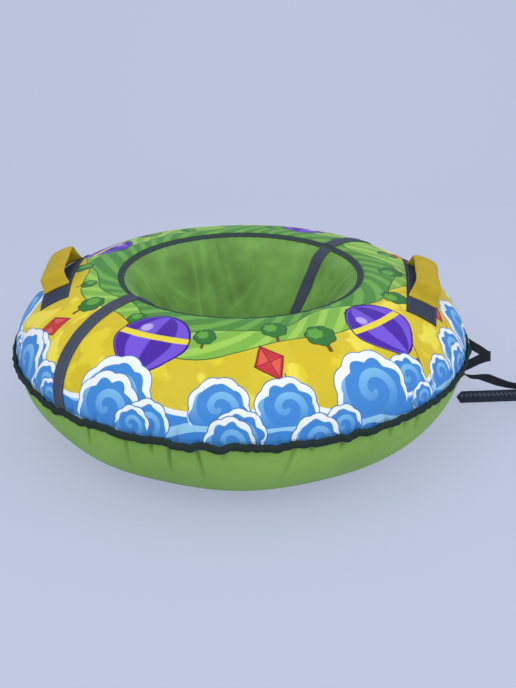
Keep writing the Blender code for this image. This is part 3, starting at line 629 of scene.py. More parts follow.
def coated_cloth(name, colour, thread, roughness, share, crease, patch):
    """Woven fabric with a smooth coating: a fine weave, soft creases, an uneven tone and painted shade in its folds.
    """
    material, shader, place, uv = new_material(name, roughness, Specular_IOR_Level=CLOTH_SHINE)
    weave = use(WEAVE, Map=uv, Thread=thread)
    creases = use(CREASES, Vector=place, Scale=22.0)
    tone = use(TONE, Vector=place, Colour=linear(*colour), Scale=patch, Share=share)
    tone = paint(tone, darker(colour, 0.8), (weave - 0.5).abs() * 0.35)
    # Painted shade in the folds: darker where a fold is deeper.
    feed(paint(tone, darker(colour, 0.55), folds(place.tree) * 0.6), shader["Base Color"])
    emboss(shader, creases * 0.8 + weave * 0.2, crease)
    return material


def webbing_cloth(name, colour, rib, seam=None):
    """Flat webbing: ribs in slanting rows with painted shade between them, on a map in metres (along, across). seam
    adds a zigzag of thread, by its pitch, its middle across the webbing and half its width."""
    material, shader, place, uv = new_material(name, 0.75, Specular_IOR_Level=CLOTH_SHINE)
    ribs = use(RIBS, Map=uv, Rib=rib)
    tone = use(TONE, Vector=place, Colour=linear(*colour), Scale=30.0, Share=0.08)
    # Painted shade in the grooves between the ribs.
    tone = paint(tone, darker(colour, 0.6), (1.0 - ribs) * 0.5)
    if seam:
        pitch, middle, half = seam
        along, across, _ = split(uv)
        zigzag = ((along / pitch).fract() - 0.5).abs() * 4.0 - 1.0
        tone = paint(tone, SEAM_COLOUR, ((across - middle - zigzag * half).abs() - SEAM_HALF_WIDTH).within(SEAM_EDGE))
    feed(tone, shader["Base Color"])
    emboss(shader, ribs, RIB_DEPTH)
    return material


def plain_material(name, colour, patch, share, roughness, metallic=0.0, scratches=0.0, **sockets):
    """An uneven tone, and fine scratches where a depth for them is given."""
    material, shader, place, _ = new_material(name, roughness, metallic, **sockets)
    feed(use(TONE, Vector=place, Colour=linear(*colour), Scale=patch, Share=share), shader["Base Color"])
    if scratches:
        stretched = add_node(place.tree, "ShaderNodeMapping", Vector=place, Scale=(1, 9, 3))
        emboss(shader, noise(stretched, patch * 5, 2.0), scratches)
    return material


lime_cloth = coated_cloth("lime_cloth", (138, 182, 84), 0.0009, 0.5, 0.10, 0.0010, 9.0)
# The seat's strong uneven tone is partly the cloth's own mottling and partly painted sheen in its lighter patches.
seat_cloth = coated_cloth("seat_cloth", (117, 165, 83), 0.0009, 0.62, 0.26, 0.0009, 16.0)
grip_cloth = coated_cloth("grip_cloth", (188, 164, 42), 0.0012, 0.7, 0.10, 0.0008, 40.0)
webbings = {name: webbing_cloth(name, *row) for name, row in WEBBINGS.items()}
threads = {name: plain_material(name, colour, 400.0, 0.15, 0.6, Sheen_Weight=0.3) for name, colour in THREADS.items()}
print("cloth materials:", [m.name for m in bpy.data.materials if m.name.endswith(("cloth", "webbing", "tape"))])

# %% [markdown]
# ## Pleats and creases
#
# Cloth on a round tube can't lie smooth. At the rim the tape pulls the edge into pleats, and the seat hangs in
# long leaning folds. A pleat is a sharp valley between rounded ridges, and a sine with its top flattened gives
# that. The pleats are unevenly spaced because slower sines push them to and fro. Creases are single valleys that
# start at a seam, each with its own length and lean, as a seeded list so that they are the same each time.

# %% Pleats and creases
PLEAT_SHARPNESS = 0.7
CREASE_WIDTH = 0.0034


def pleats(azimuth, count, swing):
    """Sharp valleys round the tube with rounded ridges between: 0 on a ridge, up to 1 in a valley."""
    phase = count * azimuth + swing * np.sin(3 * azimuth + 1) + swing / 2 * np.sin(7 * azimuth + count)
    strength = 0.62 + 0.38 * np.sin(5 * azimuth + 0.7) * np.sin(11 * azimuth + swing)
    return strength * (1 - np.abs(np.sin(phase / 2)) ** PLEAT_SHARPNESS)


def fade(distance, reach):
    """1 at a seam, falling softly to 0 over about the reach."""
    return np.exp(-(np.maximum(distance, 0) / reach) ** 2)


def turn_from(azimuth, middle):
    """Angle from a middle, between half a turn back and half a turn on."""
    return (azimuth - middle + math.pi) % TAU - math.pi


def crease_lines(seed, count, shortest, longest, deepest):
    """Creases that start at a seam, each with an azimuth, a lean, a bend, a length and a depth."""
    chance = np.random.default_rng(seed)
    return [(TAU * (k + chance.uniform(-0.4, 0.4)) / count, chance.uniform(-0.5, 0.5), chance.uniform(-9, 9),
             shortest + (longest - shortest) * chance.uniform() ** 1.6, deepest * chance.uniform(0.35, 1.0))
            for k in range(count)]


def creased(lines, distance, azimuth):
    """Narrow valleys with a soft ridge on one side, deepest near the seam."""
    total = 0
    for start, lean, bend, reach, depth in lines:
        gap = turn_from(azimuth, start + lean * distance + bend * distance ** 2) * RIM_RADIUS / CREASE_WIDTH
        size = np.clip(1 - distance / reach, 0, 1) ** 0.7 * np.clip(distance / 0.003, 0, 1)
        total = total - depth * size * (np.exp(-gap ** 2) - 0.6 * np.exp(-((gap - 1.8) / 1.6) ** 2))
    return total


BELLY_CREASES = crease_lines(5, 62, 0.020, 0.095, 0.0085)
RIM_CREASES = crease_lines(9, 70, 0.012, 0.045, 0.0040)
print("creases on the belly and on the top:", len(BELLY_CREASES), len(RIM_CREASES))

# %% [markdown]
# ## Relief of the three cloths
#
# Each cloth stands off its smooth line by a relief that depends on the place. Everything sewn on a cloth asks the
# same rule where the cloth is, so a strap or a stitch always lies on its pleats.

# %% Relief of the three cloths
ZIP_HEIGHT = 0.200
ZIP_START = math.radians(-132)
ZIP_END = math.radians(-36)
ZIP_ALONG = (ZIP_HEIGHT - SEAT_FLOOR_HEIGHT) / math.sin(SEAT_WALL_SLOPE)


def top_relief(along, azimuth):
    """How far the top cover stands off its smooth section."""
    reach = 0.036 + 0.016 * np.sin(4 * azimuth + 0.5) * np.sin(9 * azimuth)
    rim = -0.0020 * pleats(azimuth, 58, 2.6) * fade(TOP.length - along, reach)
    rim = rim + creased(RIM_CREASES, TOP.length - along, azimuth)
    edge = -0.0014 * pleats(azimuth, 74, 2.0) * fade(along, 0.016)
    return rim + edge + 0.0009 * np.sin(6 * azimuth + 9 * along) * np.sin(along / TOP.length * math.pi)


def belly_relief(along, azimuth):
    """How far the belly stands off its smooth section: creases of uneven length below the rim."""
    rim = -0.0030 * pleats(azimuth, 46, 3.0) * fade(along - 0.004, 0.020)
    broad = 0.0012 * np.sin(9 * azimuth + 22 * along) * np.sin(along / BELLY.length * math.pi)
    return rim + broad + creased(BELLY_CREASES, along, azimuth)


def seat_relief(along, azimuth):
    """How far the seat's cloth stands into the seat: long folds that lean both ways, calm at seams and zip."""
    lean = along * 3.2 * np.sin(3 * azimuth + 0.4)
    long_folds = 0.0052 * (pleats(azimuth + lean, 15, 2.2) - 0.3) + 0.0026 * pleats(azimuth - 1.4 * lean, 23, 3.1)
    calm = np.sin(math.pi * np.clip(np.clip(along / SEAT.length, 0, 1) * 1.04, 0, 1)) ** 0.8
    side = np.abs(turn_from(azimuth, (ZIP_START + ZIP_END) / 2)) - (ZIP_END - ZIP_START) / 2
    at_zip = np.clip(1 - side / 0.12, 0, 1) * np.exp(-((along - ZIP_ALONG) / 0.028) ** 4)
    edge = -0.0012 * pleats(azimuth, 66, 2.0) * fade(SEAT.length - along - 0.006, 0.02)
    return long_folds * calm * (1 - at_zip) + edge * (1 - at_zip)


def on_section(section, relief, along, azimuth, lift):
    """Points on one of the three cloths, at a lift off it."""
    along, azimuth, lift = np.broadcast_arrays(*(np.asarray(v, float) for v in (along, azimuth, lift)))
    return around(*section.at(along, relief(along, azimuth) + lift), azimuth)


def on_top(along, azimuth, lift=0.0):
    return on_section(TOP, top_relief, along, azimuth, lift)


def on_belly(along, azimuth, lift=0.0):
    points = on_section(BELLY, belly_relief, along, azimuth, lift)
    points[..., 2] = np.maximum(points[..., 2], 0.0)
    return points


def on_seat(along, azimuth, lift=0.0):
    return on_section(SEAT, seat_relief, along, azimuth, lift)


print("deepest pleat of the belly, mm:", round(-1000 * belly_relief(0.004, np.linspace(0, TAU, 4000)).min(), 1))

# %% [markdown]
# ## Top cover
#
# A ring of coated fabric that is printed before it is sewn. It runs from the seam round the seat over the
# crown to the rim. The mesh is a dense grid so that the fine pleats at the rim show, with its map in metres:
# once round, and outwards from the seat. How deep a point lies in a crease is stored with it, for painted shade.

# %% Top cover
ROUND_STEPS = 720
MAP_RADIUS = 0.35


def once_round(steps):
    return np.linspace(-math.pi, math.pi, steps, endpoint=False)


def ring_map(along, steps):
    """A map in metres for a grid that goes once round: around at the middle radius, then along the section."""
    return lambda i, j: (-math.pi * MAP_RADIUS + TAU * MAP_RADIUS * i / steps, along[j])


def ring_cloth(name, points, along, depth):
    """A cloth that goes once round, its grid turned so that it faces out, with the depth of its folds marked for
    painted shade.
    """
    piece = skin(name, points[:, ::-1], ring_map(along[::-1], len(points)), closed=True)
    mark_fold_shade(piece, depth[:, ::-1])
    return piece


top_along = np.concatenate([np.linspace(0, 0.03, 10)[:-1], np.linspace(0.03, 0.19, 26)[:-1],
                            np.linspace(0.19, TOP.length, 26)])
azimuths, alongs = grid(once_round(ROUND_STEPS), top_along)
# The fold marks set the shade painted into the creases near the rim.
top_cover = ring_cloth("top_cover_cloth", on_top(alongs, azimuths), top_along,
                       creased(RIM_CREASES, TOP.length - alongs, azimuths) / -0.003)
print("top cover faces:", len(top_cover.data.polygons))

# %% [markdown]
# ## Underside
#
# The bottom is a round of plain lime fabric, gathered at the rim into pleats and flat where the tube lies on
# the snow. Its pleats start at the binding and die out down the belly, each at its own length.

# %% Underside
BELLY_STEPS = 1320
GROUND_RINGS = 6


def close_middle(piece, side, reach):
    """Fill the round hole left in the middle of a ring mesh with one flat face that looks up (1) or down (-1)."""
    bm = bmesh.new()
    bm.from_mesh(piece.data)
    rim = [e for e in bm.edges if e.is_boundary and all(math.hypot(*v.co.xy) < reach for v in e.verts)]
    layer = bm.loops.layers.uv.verify()
    for face in bmesh.ops.contextual_create(bm, geom=rim)["faces"]:
        if face.normal.z * side < 0:
            face.normal_flip()
        for loop in face.loops:
            loop[layer].uv = loop.vert.co.xy
    bm.normal_update()
    bm.to_mesh(piece.data)
    bm.free()


belly_along = np.concatenate([np.linspace(0, 0.09, 34)[:-1], np.linspace(0.09, BELLY.length, 18)])
azimuths, alongs = grid(once_round(BELLY_STEPS), belly_along)
ground = around(np.linspace(GROUND_RADIUS, 0.0, GROUND_RINGS)[None, 1:-1], 0.0, azimuths[:, :1])
ground_along = BELLY.length + np.linspace(0, GROUND_RADIUS, GROUND_RINGS)[1:-1]
# How deep each crease is, for the shade painted into the belly's creases.
depth = np.pad(creased(BELLY_CREASES, alongs, azimuths) / -0.005, ((0, 0), (0, ground.shape[1])))
underside = ring_cloth("bottom_cover_cloth", np.concatenate([on_belly(alongs, azimuths), ground], 1),
                       np.concatenate([belly_along, ground_along]), depth)
close_middle(underside, -1, 0.06)
dress(underside, lime_cloth, "lime_fabric", "bottom_cover")
print("underside faces:", len(underside.data.polygons))

# %% [markdown]
# ## Seat
#
# The sunken seat is a cone of thin green cloth sewn to a flat round floor. It hangs from the seam and slopes in
# over the inner tube, so it wrinkles. The wall's folds are part of its mesh, because their shadows show in the
# photo.

# %% Seat
FLOOR_RADIUS = wall_radius(SEAT_FLOOR_HEIGHT)
seat_along = np.linspace(0, SEAT.length, 64)
azimuths, alongs = grid(once_round(ROUND_STEPS), seat_along)
# The last argument sets the shade painted into the seat wall's folds.
seat_wall = ring_cloth("seat_wall_cloth", on_seat(alongs, azimuths), seat_along,
                       (0.0005 - seat_relief(alongs, azimuths)) / 0.004)
dress(seat_wall, seat_cloth, "seat_fabric", "seat_wall")

azimuths, radii = grid(once_round(ROUND_STEPS)[::4], np.linspace(FLOOR_RADIUS, 0.012, 22))
ripple = 0.0008 * np.sin(7 * azimuths + 60 * radii) * np.sin(radii / FLOOR_RADIUS * math.pi)
floor_points = around(radii, SEAT_FLOOR_HEIGHT + ripple, azimuths)
seat_floor = skin("seat_floor_cloth", floor_points, lambda i, j: floor_points[i % len(floor_points), j][:2],
                  closed=True)
close_middle(seat_floor, 1, 0.02)
dress(seat_floor, seat_cloth, "seat_fabric", "seat_floor")
print("seat wall and floor faces:", len(seat_wall.data.polygons), len(seat_floor.data.polygons))

# %% [markdown]
# ## Piping
#
# The seat's seam is covered by a flat tape with a soft ridge in its middle. Half of it lies on the seat wall and
# half on the top cover, so its points are a mix of both cloths' points, and it closes the seam between them.

# %% Piping
PIPING_HALF = 0.0062
PIPING_THICKNESS = 0.0014


def across_edge(share, azimuth, lift):
    """Points across the seat's seam: share -1 on the seat wall, 1 on the top cover."""
    inner = on_seat(SEAT.length + np.minimum(share, 0) * PIPING_HALF, azimuth, lift)
    outer = on_top(np.maximum(share, 0) * PIPING_HALF, azimuth, lift)
    mix = np.clip(share * 4 + 0.5, 0, 1)[..., None]
    return inner * (1 - mix) + outer * mix


shares = np.linspace(-1, 1, 15)
azimuths, share = grid(once_round(ROUND_STEPS)[::2], shares)
ridge = 0.0011 * np.exp(-(share / 0.45) ** 2) + 0.00025 * np.sin(70 * azimuths + 3 * np.sin(9 * azimuths))
piping = slab("seat_piping_tape", across_edge(share, azimuths, PIPING_THICKNESS + ridge),
              across_edge(share, azimuths, 0.0003),
              lambda i, j: (TAU * SEAT_EDGE_RADIUS * i / len(azimuths), shares[j] * PIPING_HALF), closed=True)
dress(piping, webbings["piping_tape"], "dark_tape", "seat_piping")
print("piping faces:", len(piping.data.polygons))

# %% [markdown]
# ## Rim binding
#
# The rim's seam is bound by a tape that is gathered as it is sewn, so it stands out in a wavy, lumpy edge. A rule
# gives that shape: a circle, moved up, down and outwards by sines and noise, and swept with a flat rounded section
# whose size changes as well. Noise that is cut off above and below makes flat steps with hard shoulders, which is
# how gathered tape lies, and smooth noise alone would look like a rope. Geometry Nodes can state such a rule with
# named inputs.

# %% Rim binding
BINDING_SECTION = (0.0040, 0.0061, 1.0)
BINDING_OUTSET = 0.0032


def finished(geometry, material):
    """Smooth faces with a material, as the last nodes of a tree."""
    smooth = add_node(geometry.tree, "GeometryNodeSetShadeSmooth", Geometry=geometry)
    return add_node(geometry.tree, "GeometryNodeSetMaterial", Geometry=smooth, Material=material)


def grown(piece, tree, **values):
    """Shape an object by a tree with these input values, and freeze it to plain mesh."""
    modifier = piece.modifiers.new(tree.name, "NODES")
    modifier.node_group = tree
    for item in tree.interface.items_tree:
        if item.item_type == "SOCKET" and item.name in values:
            modifier[item.identifier] = values[item.name]
    return frozen(piece)


def gathered_binding(_, radius, height, wave, swell, material):
    tree = radius.tree
    circle = add_node(tree, "GeometryNodeCurvePrimitiveCircle", Resolution=900, Radius=radius)
    place = add_node(tree, "GeometryNodeInputPosition")
    x, y, _ = split(place)
    turn, reach = y.angle(x), length(x, y)
    broad = noise(place, 15.0, 2.0)
    lumps = ((noise(place, 34.0, 1.0) - 0.52).most(0.0) * 7.0).least(1.2)
    fine = noise(place, 110.0, 2.0)
    steps = ((noise(place, 42.0, 1.0) - 0.5) * 14.0).most(-0.5).least(0.5)
    slow = (turn * 3 + 1).sin() * 2.6 + (turn * 7 + 58).sin() * 1.3
    rise = ((turn * 52 + slow).sin() * 0.25 + (broad - 0.5) * 1.8 - lumps * 0.7 + steps * 0.7 + (fine - 0.5)) * wave
    out = (lumps * 1.1 + (fine - 0.5) * 1.4 - steps * 0.5) * wave
    shift = add_node(tree, "ShaderNodeCombineXYZ", X=x / reach * out, Y=y / reach * out, Z=rise + height)
    moved = add_node(tree, "GeometryNodeSetPosition", Geometry=circle, Offset=shift)
    size = 0.92 + ((fine - 0.5) * 1.8 + lumps * 1.2 - steps * 0.5) * swell
    sized = add_node(tree, "GeometryNodeSetCurveRadius", Curve=moved, Radius=size)
    section = add_node(tree, "GeometryNodeCurvePrimitiveCircle", Resolution=12, Radius=1.0)
    flat = add_node(tree, "GeometryNodeTransform", Geometry=section, Scale=BINDING_SECTION)
    return finished(add_node(tree, "GeometryNodeCurveToMesh", Curve=sized, Profile_Curve=flat), material)


BINDING = node_group("GeometryNodeTree", "gathered_binding", {
    "Geometry": "Geometry", "Radius": 0.43, "Height": 0.15, "Wave": 0.002, "Swell": 0.2, "Material": "Material"},
    "Geometry", gathered_binding)
binding = grown(linked("rim_binding_tape", bpy.data.meshes.new("rim_binding_tape")), BINDING,
                Radius=RIM_RADIUS + BINDING_OUTSET, Height=RIM_HEIGHT, Wave=0.0024, Swell=0.28)
lay_map(binding, lambda p: np.stack([np.arctan2(p[:, 1], p[:, 0]) * RIM_RADIUS, p[:, 2]], 1))
dress(binding, webbings["binding_tape"], "dark_tape", "rim_binding")
print("binding faces:", len(binding.data.polygons))

# %% [markdown]
# ## Cross strap
#
# One flat strap is sewn over the cover on both sides and runs on through the seat. It keeps its width, so
# on the ring its sides are placed in metres from its middle line and not in degrees. It follows the pleats below
# it.

# %% Cross strap
STRAP_WIDTH = 0.028
STRAP_THICKNESS = 0.0016
STRAP_AZIMUTH = math.radians(37)
COVER_STRAPS = (("strap_left", STRAP_AZIMUTH - math.pi, math.radians(10)),
                ("strap_right", STRAP_AZIMUTH, math.radians(7)))
STRAP_SIDES = np.array([-1, -0.93, -0.7, -0.35, 0, 0.35, 0.7, 0.93, 1]) * STRAP_WIDTH / 2
STRAP_STEPS = 90


def strip_on(section, place, azimuth, skew, start, end, lift):
    """Upper and lower grid of a strap along a section line, at an azimuth that drifts by the skew on the way."""
    alongs, sides = grid(np.linspace(start, end, STRAP_STEPS), STRAP_SIDES)
    full = STRAP_THICKNESS * (1 - 0.45 * (np.abs(sides) / (STRAP_WIDTH / 2)) ** 6)
    flutter = 0.0003 * np.sin(alongs * 160 + sides * 90) + 0.0003
    turns = azimuth + skew * (alongs - start) / (end - start) + sides / section.radius(alongs)
    return place(alongs, turns, lift + flutter + full), place(alongs, turns, lift + flutter * 0.5)


for name, azimuth, skew in COVER_STRAPS:
    span = np.linspace(PIPING_HALF - 0.001, TOP.length - 0.0045, STRAP_STEPS)
    strap = slab(f"{name}_webbing", *strip_on(TOP, on_top, azimuth, skew, span[0], span[-1], 0.0008),
                 lambda i, j: (span[i], STRAP_SIDES[j]))
    dress(strap, webbings["slate_webbing"], "slate_webbing", name)


def through_seat(far, near, high):
    """One grid of the strap down the far wall, over the floor at a height and up the near wall."""
    shares = np.linspace(0, 1, 30)[1:-1, None, None]
    rows = far[0][None, ::-1] * (1 - shares) + near[0][None] * shares
    sink = np.sin(shares[..., 0] * math.pi) ** 0.35
    rows[..., 2] = rows[..., 2] * (1 - sink) + high * sink
    return np.concatenate([far[::-1, ::-1], rows, near])


far_half, near_half = (strip_on(SEAT, on_seat, azimuth, 0.0, 0.004, SEAT.length - PIPING_HALF + 0.001, 0.0010)
                       for azimuth in (STRAP_AZIMUTH + math.pi, STRAP_AZIMUTH))
seat_grids = [through_seat(far, near, SEAT_FLOOR_HEIGHT + rise)
              for far, near, rise in zip(far_half, near_half, (0.0026, 0.0010))]
run = travelled(seat_grids[0][:, 4])
widths = np.linspace(-STRAP_WIDTH / 2, STRAP_WIDTH / 2, 9)
seat_strap = slab("strap_seat_webbing", *seat_grids, lambda i, j: (run[i], widths[j]))
dress(seat_strap, webbings["slate_webbing"], "slate_webbing", "strap_seat")
print("length of the strap through the seat, mm:", round(run[-1] * 1000))

# %% [markdown]
# ## Handles
#
# Each handle is a wide webbing patch sewn flat on the cover, with a shorter padded sleeve over it. The sleeve is
# flat and stitched at both feet and stands up between them, so that a gloved hand fits under. Both handles are
# the same, only turned to another place on the ring, so a `Handle` holds the axes and the shape.

# %% Handles
HANDLES = (("handle_right", math.radians(-9.5), 0.0145, 0.33525),
           ("handle_left", math.radians(183.9), -0.0545, 0.34025))
BASE_LENGTH = 0.281
BASE_WIDTH = 0.058
ARCH_HALF = 0.0885
ARCH_FOOT = 0.0050
ARCH_RISE = 0.0150
GRIP_HALF = ARCH_HALF - ARCH_FOOT - ARCH_RISE
SLOPE_STEP = 0.0003


def cover_height(radius):
    share = np.clip((radius - CROWN_RADIUS) / (RIM_RADIUS - CROWN_RADIUS), 0, 1)
    return RIM_HEIGHT + (CROWN_HEIGHT - RIM_HEIGHT) * np.sqrt(1 - share ** 2)


class Handle:
    """A handle's own axes on the cover: X along it, Y across it and Z off the cloth."""

    def __init__(self, name, azimuth, middle, radius):
        self.name, self.middle = name, middle
        slope = math.atan2(cover_height(radius + SLOPE_STEP) - cover_height(radius - SLOPE_STEP), 2 * SLOPE_STEP)
        self.lean = math.cos(slope)
        radial = np.array([math.cos(azimuth), math.sin(azimuth), 0])
        self.x = np.array([-radial[1], radial[0], 0])
        outward = radial * math.cos(slope) + np.array([0, 0, math.sin(slope)])
        self.z = -np.cross(self.x, outward)
        self.y = np.cross(self.z, self.x)
        self.place = radial * radius + np.array([0, 0, cover_height(radius)])
        self.front = -1 if self.x[1] > 0 else 1

    def world(self, x, y, z):
        x, y, z = np.broadcast_arrays(*(np.asarray(v, float) for v in (x, y, z)))
        return self.place + x[..., None] * self.x + y[..., None] * self.y + z[..., None] * self.z

    def cover(self, x, y):
        """Height of the cloth over the handle's base plane, gathers included."""
        z = np.zeros(np.broadcast(x, y).shape)
        for _ in range(12):
            point = self.world(x, y, z)
            radius = np.hypot(point[..., 0], point[..., 1])
            z = z + (cover_height(radius) - point[..., 2]) * self.lean
        along = np.interp(radius, TOP.points[:, 0], TOP.along)
        return z + top_relief(along, np.arctan2(point[..., 1], point[..., 0]))

    def rise(self, x):
        """0 on a sewn foot, 1 along the grip, and a smooth step between them."""
        share = np.clip((ARCH_HALF - ARCH_FOOT - np.abs(x - self.middle)) / ARCH_RISE, 0, 1)
        return share * share * (3 - 2 * share)


def base_patch(handle):
    """The webbing patch, laid on the cover with a little flutter."""
    xs = np.linspace(-BASE_LENGTH / 2, BASE_LENGTH / 2, 120) + handle.middle
    ys = np.linspace(-BASE_WIDTH / 2, BASE_WIDTH / 2, 26)
    x, y = grid(xs, ys)
    level = handle.cover(x, y) + (0.0004 + 0.0004 * np.sin(x * 70 + y * 40) * np.abs(y) / BASE_WIDTH * 2)
    full = STRAP_THICKNESS * (1 - 0.5 * (np.abs(y) / (BASE_WIDTH / 2)) ** 12)
    return slab(f"{handle.name}_patch", handle.world(x, y, level + full), handle.world(x, y, level),
                lambda i, j: (xs[i], ys[j]))


handles = [Handle(*row) for row in HANDLES]
for handle in handles:
    dress(base_patch(handle), webbings["base_webbing"], "slate_webbing", f"{handle.name}_base")
print("handles:", [h.name for h in handles])

# %% [markdown]
# ## Shape of the sleeves
#
# The sleeve is fabric sewn round a soft strip of foam over the load webbing. It starts as a smooth tube that is a
# little too slim: rings of points from foot to foot, flat at the feet, thick and raised along the grip.

# %% Shape of the sleeves
FOOT_WIDTH = 0.053
FOOT_THICKNESS = 0.0032
FOOT_LEVEL = 0.0043
GRIP_WIDTH = 0.052
GRIP_THICKNESS = 0.0100
GRIP_HEIGHT = 0.0255
SLIM = 0.0022


def softened(values, power):
    """Sines or cosines with their curve made squarer, for a flat section with soft edges."""
    return np.sign(values) * np.abs(values) ** power


def sleeve_rings(handle):
    """The sleeve before it swells."""
    xs = handle.middle + np.linspace(-1, 1, 130) * (ARCH_HALF - 0.0004)
    x, turn = grid(xs, np.linspace(0, TAU, 48, endpoint=False) + 0.01)
    share = handle.rise(x)
    width = FOOT_WIDTH + (GRIP_WIDTH - FOOT_WIDTH) * share - SLIM * share
    tall = FOOT_THICKNESS + (GRIP_THICKNESS - SLIM - FOOT_THICKNESS) * share
    across = softened(np.cos(turn), 0.75) * width / 2
    up = softened(np.sin(turn), 0.9) * tall / 2
    seat = handle.cover(x, across) + FOOT_LEVEL
    grip = GRIP_HEIGHT - 0.0040 * np.abs((x - handle.middle) / ARCH_HALF) ** 3 - 0.0012 * (across / 0.02) ** 2
    slope = np.gradient(share[:, 0] * (GRIP_HEIGHT - 0.006), xs)[:, None]
    return handle.world(x, across, seat * (1 - share) + grip * share + up * np.sqrt(1 + slope ** 2))


def closed_tube(name, rings):
    """A closed solid through rings of points, with a flat cap at both ends."""
    count, size = rings.shape[:2]
    faces = [[i * size + j, (i + 1) * size + j, (i + 1) * size + (j + 1) % size, i * size + (j + 1) % size]
             for i in range(count - 1) for j in range(size)]
    faces.append(list(range(size)))
    faces.append([(count - 1) * size + j for j in reversed(range(size))])
    return turned_outwards(new_piece(name, rings.reshape(-1, 3), faces))


slim_sleeves = {handle.name: closed_tube(f"{handle.name}_sleeve", sleeve_rings(handle)) for handle in handles}
print("faces of each slim sleeve:", [len(s.data.polygons) for s in slim_sleeves.values()])

# %% [markdown]
# ## Padded sleeves
#
# A short cloth simulation with a light air pressure swells each slim sleeve and gives it creases. How far a point
# may move is capped, more at the grip than at the sewn feet. The simulation has no gravity and a fixed number of
# frames, so it comes out the same each time. One round of subdivision smooths the result, and the sleeve is then
# cut in two halves.

# %% Padded sleeves
SWELL_FRAMES = 20
SWELL_PRESSURE = 4


def swell(piece, farthest):
    """Blow a soft piece up a little with a cloth simulation. farthest gives how far each point may move."""
    before = corners_of(piece)
    settings = piece.modifiers.new("Cloth", "CLOTH").settings
    settings.use_pressure = True
    settings.uniform_pressure_force = SWELL_PRESSURE
    settings.effector_weights.gravity = 0
    settings.quality = 5
    for frame_number in range(1, SWELL_FRAMES + 1):
        bpy.context.scene.frame_set(frame_number)
    frozen(piece)
    bpy.context.scene.frame_set(1)
    move = corners_of(piece) - before
    far = np.linalg.norm(move, axis=1)
    move *= (np.minimum(far, farthest(before)) / np.maximum(far, 1e-9))[:, None]
    piece.data.vertices.foreach_set("co", (before + move).ravel())
    smooth = piece.modifiers.new("Subdivision", "SUBSURF")
    smooth.levels = smooth.render_levels = 1
    frozen(piece)
    piece.data.shade_smooth()


def split_at(piece, point, direction, name):
    """The part of a closed piece on one side of a plane, with the cut closed."""
    bm = bmesh.new()
    bm.from_mesh(piece.data)
    cut = bmesh.ops.bisect_plane(bm, geom=bm.verts[:] + bm.edges[:] + bm.faces[:], plane_co=point,
                                 plane_no=direction, clear_inner=True)["geom_cut"]
    bmesh.ops.contextual_create(bm, geom=[e for e in cut if isinstance(e, bmesh.types.BMEdge)])
    mesh = bpy.data.meshes.new(name)
    bm.to_mesh(mesh)
    bm.free()
    return turned_outwards(linked(name, mesh))


for handle in handles:
    whole = slim_sleeves[handle.name]
    swell(whole, lambda points: 0.0002 + 0.0022 * handle.rise((points - handle.place) @ handle.x))
    x_axis = Vector(handle.x)
    middle = Vector(handle.place) + x_axis * handle.middle
    for part, side in (("front", handle.front), ("rear", -handle.front)):
        half = split_at(whole, middle, x_axis * side, f"{handle.name}_sleeve_{part}")
        lay_map(half, lambda p: np.stack([(p - handle.place) @ handle.x, (p - handle.place) @ handle.y], 1))
        half.data.materials.append(grip_cloth)
        foot, shoulder = (middle + x_axis * side * (GRIP_HALF + past) for past in (0.010, -0.002))
        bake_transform(half)
        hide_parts(f"{handle.name}_{part}_tab", f"{handle.name}_grip")
    bpy.data.objects.remove(whole)

# %% [markdown]
# ## Tow loop
#
# A short piece of webbing, folded flat at its tip, with both ends sewn into the rim. The fold turns the strap
# by an angle, so its two legs spread. Each leg is a strip cut off along the fold, and one leg lies over the
# other.

# %% Tow loop
LOOP_AZIMUTH = math.radians(-16.4)
LOOP_ANGLE = math.radians(38)
LOOP_MIDDLE = 0.0419
LOOP_FOLD = 0.0428
LOOP_ROOT = 0.0075
WEB_WIDTH = 0.025
WEB_HALF = WEB_WIDTH / 2
LEG_SHARES = np.linspace(0, 1, 40)
LEG_OFFSETS = np.linspace(-0.5, 0.5, 11) * WEB_WIDTH
FOLD_SIDES = np.linspace(-0.0178, 0.0178, 12)
FOLD_TURNS = np.linspace(-QUARTER, QUARTER, 9)


def loop_place(reach, side, height):
    """A point by its reach beyond the rim, its distance along the rim's tangent and its height."""
    out = np.array([math.cos(LOOP_AZIMUTH), math.sin(LOOP_AZIMUTH), 0])
    reach, side, height = np.broadcast_arrays(reach, side, height)
    return ((RIM_RADIUS + reach)[..., None] * out + side[..., None] * np.array([-out[1], out[0], 0])
            + (RIM_HEIGHT + height)[..., None] * np.array([0, 0, 1.0]))


def loop_leg(name, sign, level):
    """One leg from the rim to the fold."""
    share, offset = grid(LEG_SHARES, LEG_OFFSETS)
    slope = math.tan(LOOP_ANGLE)
    shift = LOOP_MIDDLE + offset / math.cos(LOOP_ANGLE)
    root = np.sqrt((RIM_RADIUS + LOOP_ROOT) ** 2 - ((shift - LOOP_ROOT) / slope) ** 2) - RIM_RADIUS
    reach = root + (LOOP_FOLD - root) * share
    side = sign * ((shift - reach) / slope)
    bulge = 0.0012 * np.sin(share * math.pi) * (1 if level > 0 else 0.2) + 0.0003 * np.sin(share * 9 + offset * 200)
    full = 0.0011 * (1 - 0.4 * (np.abs(offset) / WEB_HALF) ** 8)
    return slab(name, loop_place(reach, side, level + bulge + full), loop_place(reach, side, level + bulge - 0.0001),
                lambda i, j: (LEG_SHARES[i] * 0.05, LEG_OFFSETS[j]))


side, turn = grid(FOLD_SIDES, FOLD_TURNS)
outer, inner = (loop_place(LOOP_FOLD - back + round_by * np.cos(turn), side, 0.0001 + round_by * np.sin(turn))
                for back, round_by in ((0.0003, 0.0013), (0.0006, 0.0004)))
for piece in (loop_leg("tow_loop_leg_near", -1, 0.0002), loop_leg("tow_loop_leg_far", 1, -0.0012),
              slab("tow_loop_fold", outer, inner, lambda i, j: (FOLD_TURNS[j] * 0.0013, FOLD_SIDES[i]))):
    dress(piece, webbings["black_webbing"], "black_webbing", "tow_loop", body="tow_loop")
print("tow loop legs reach, mm:", round(1000 * LOOP_FOLD))

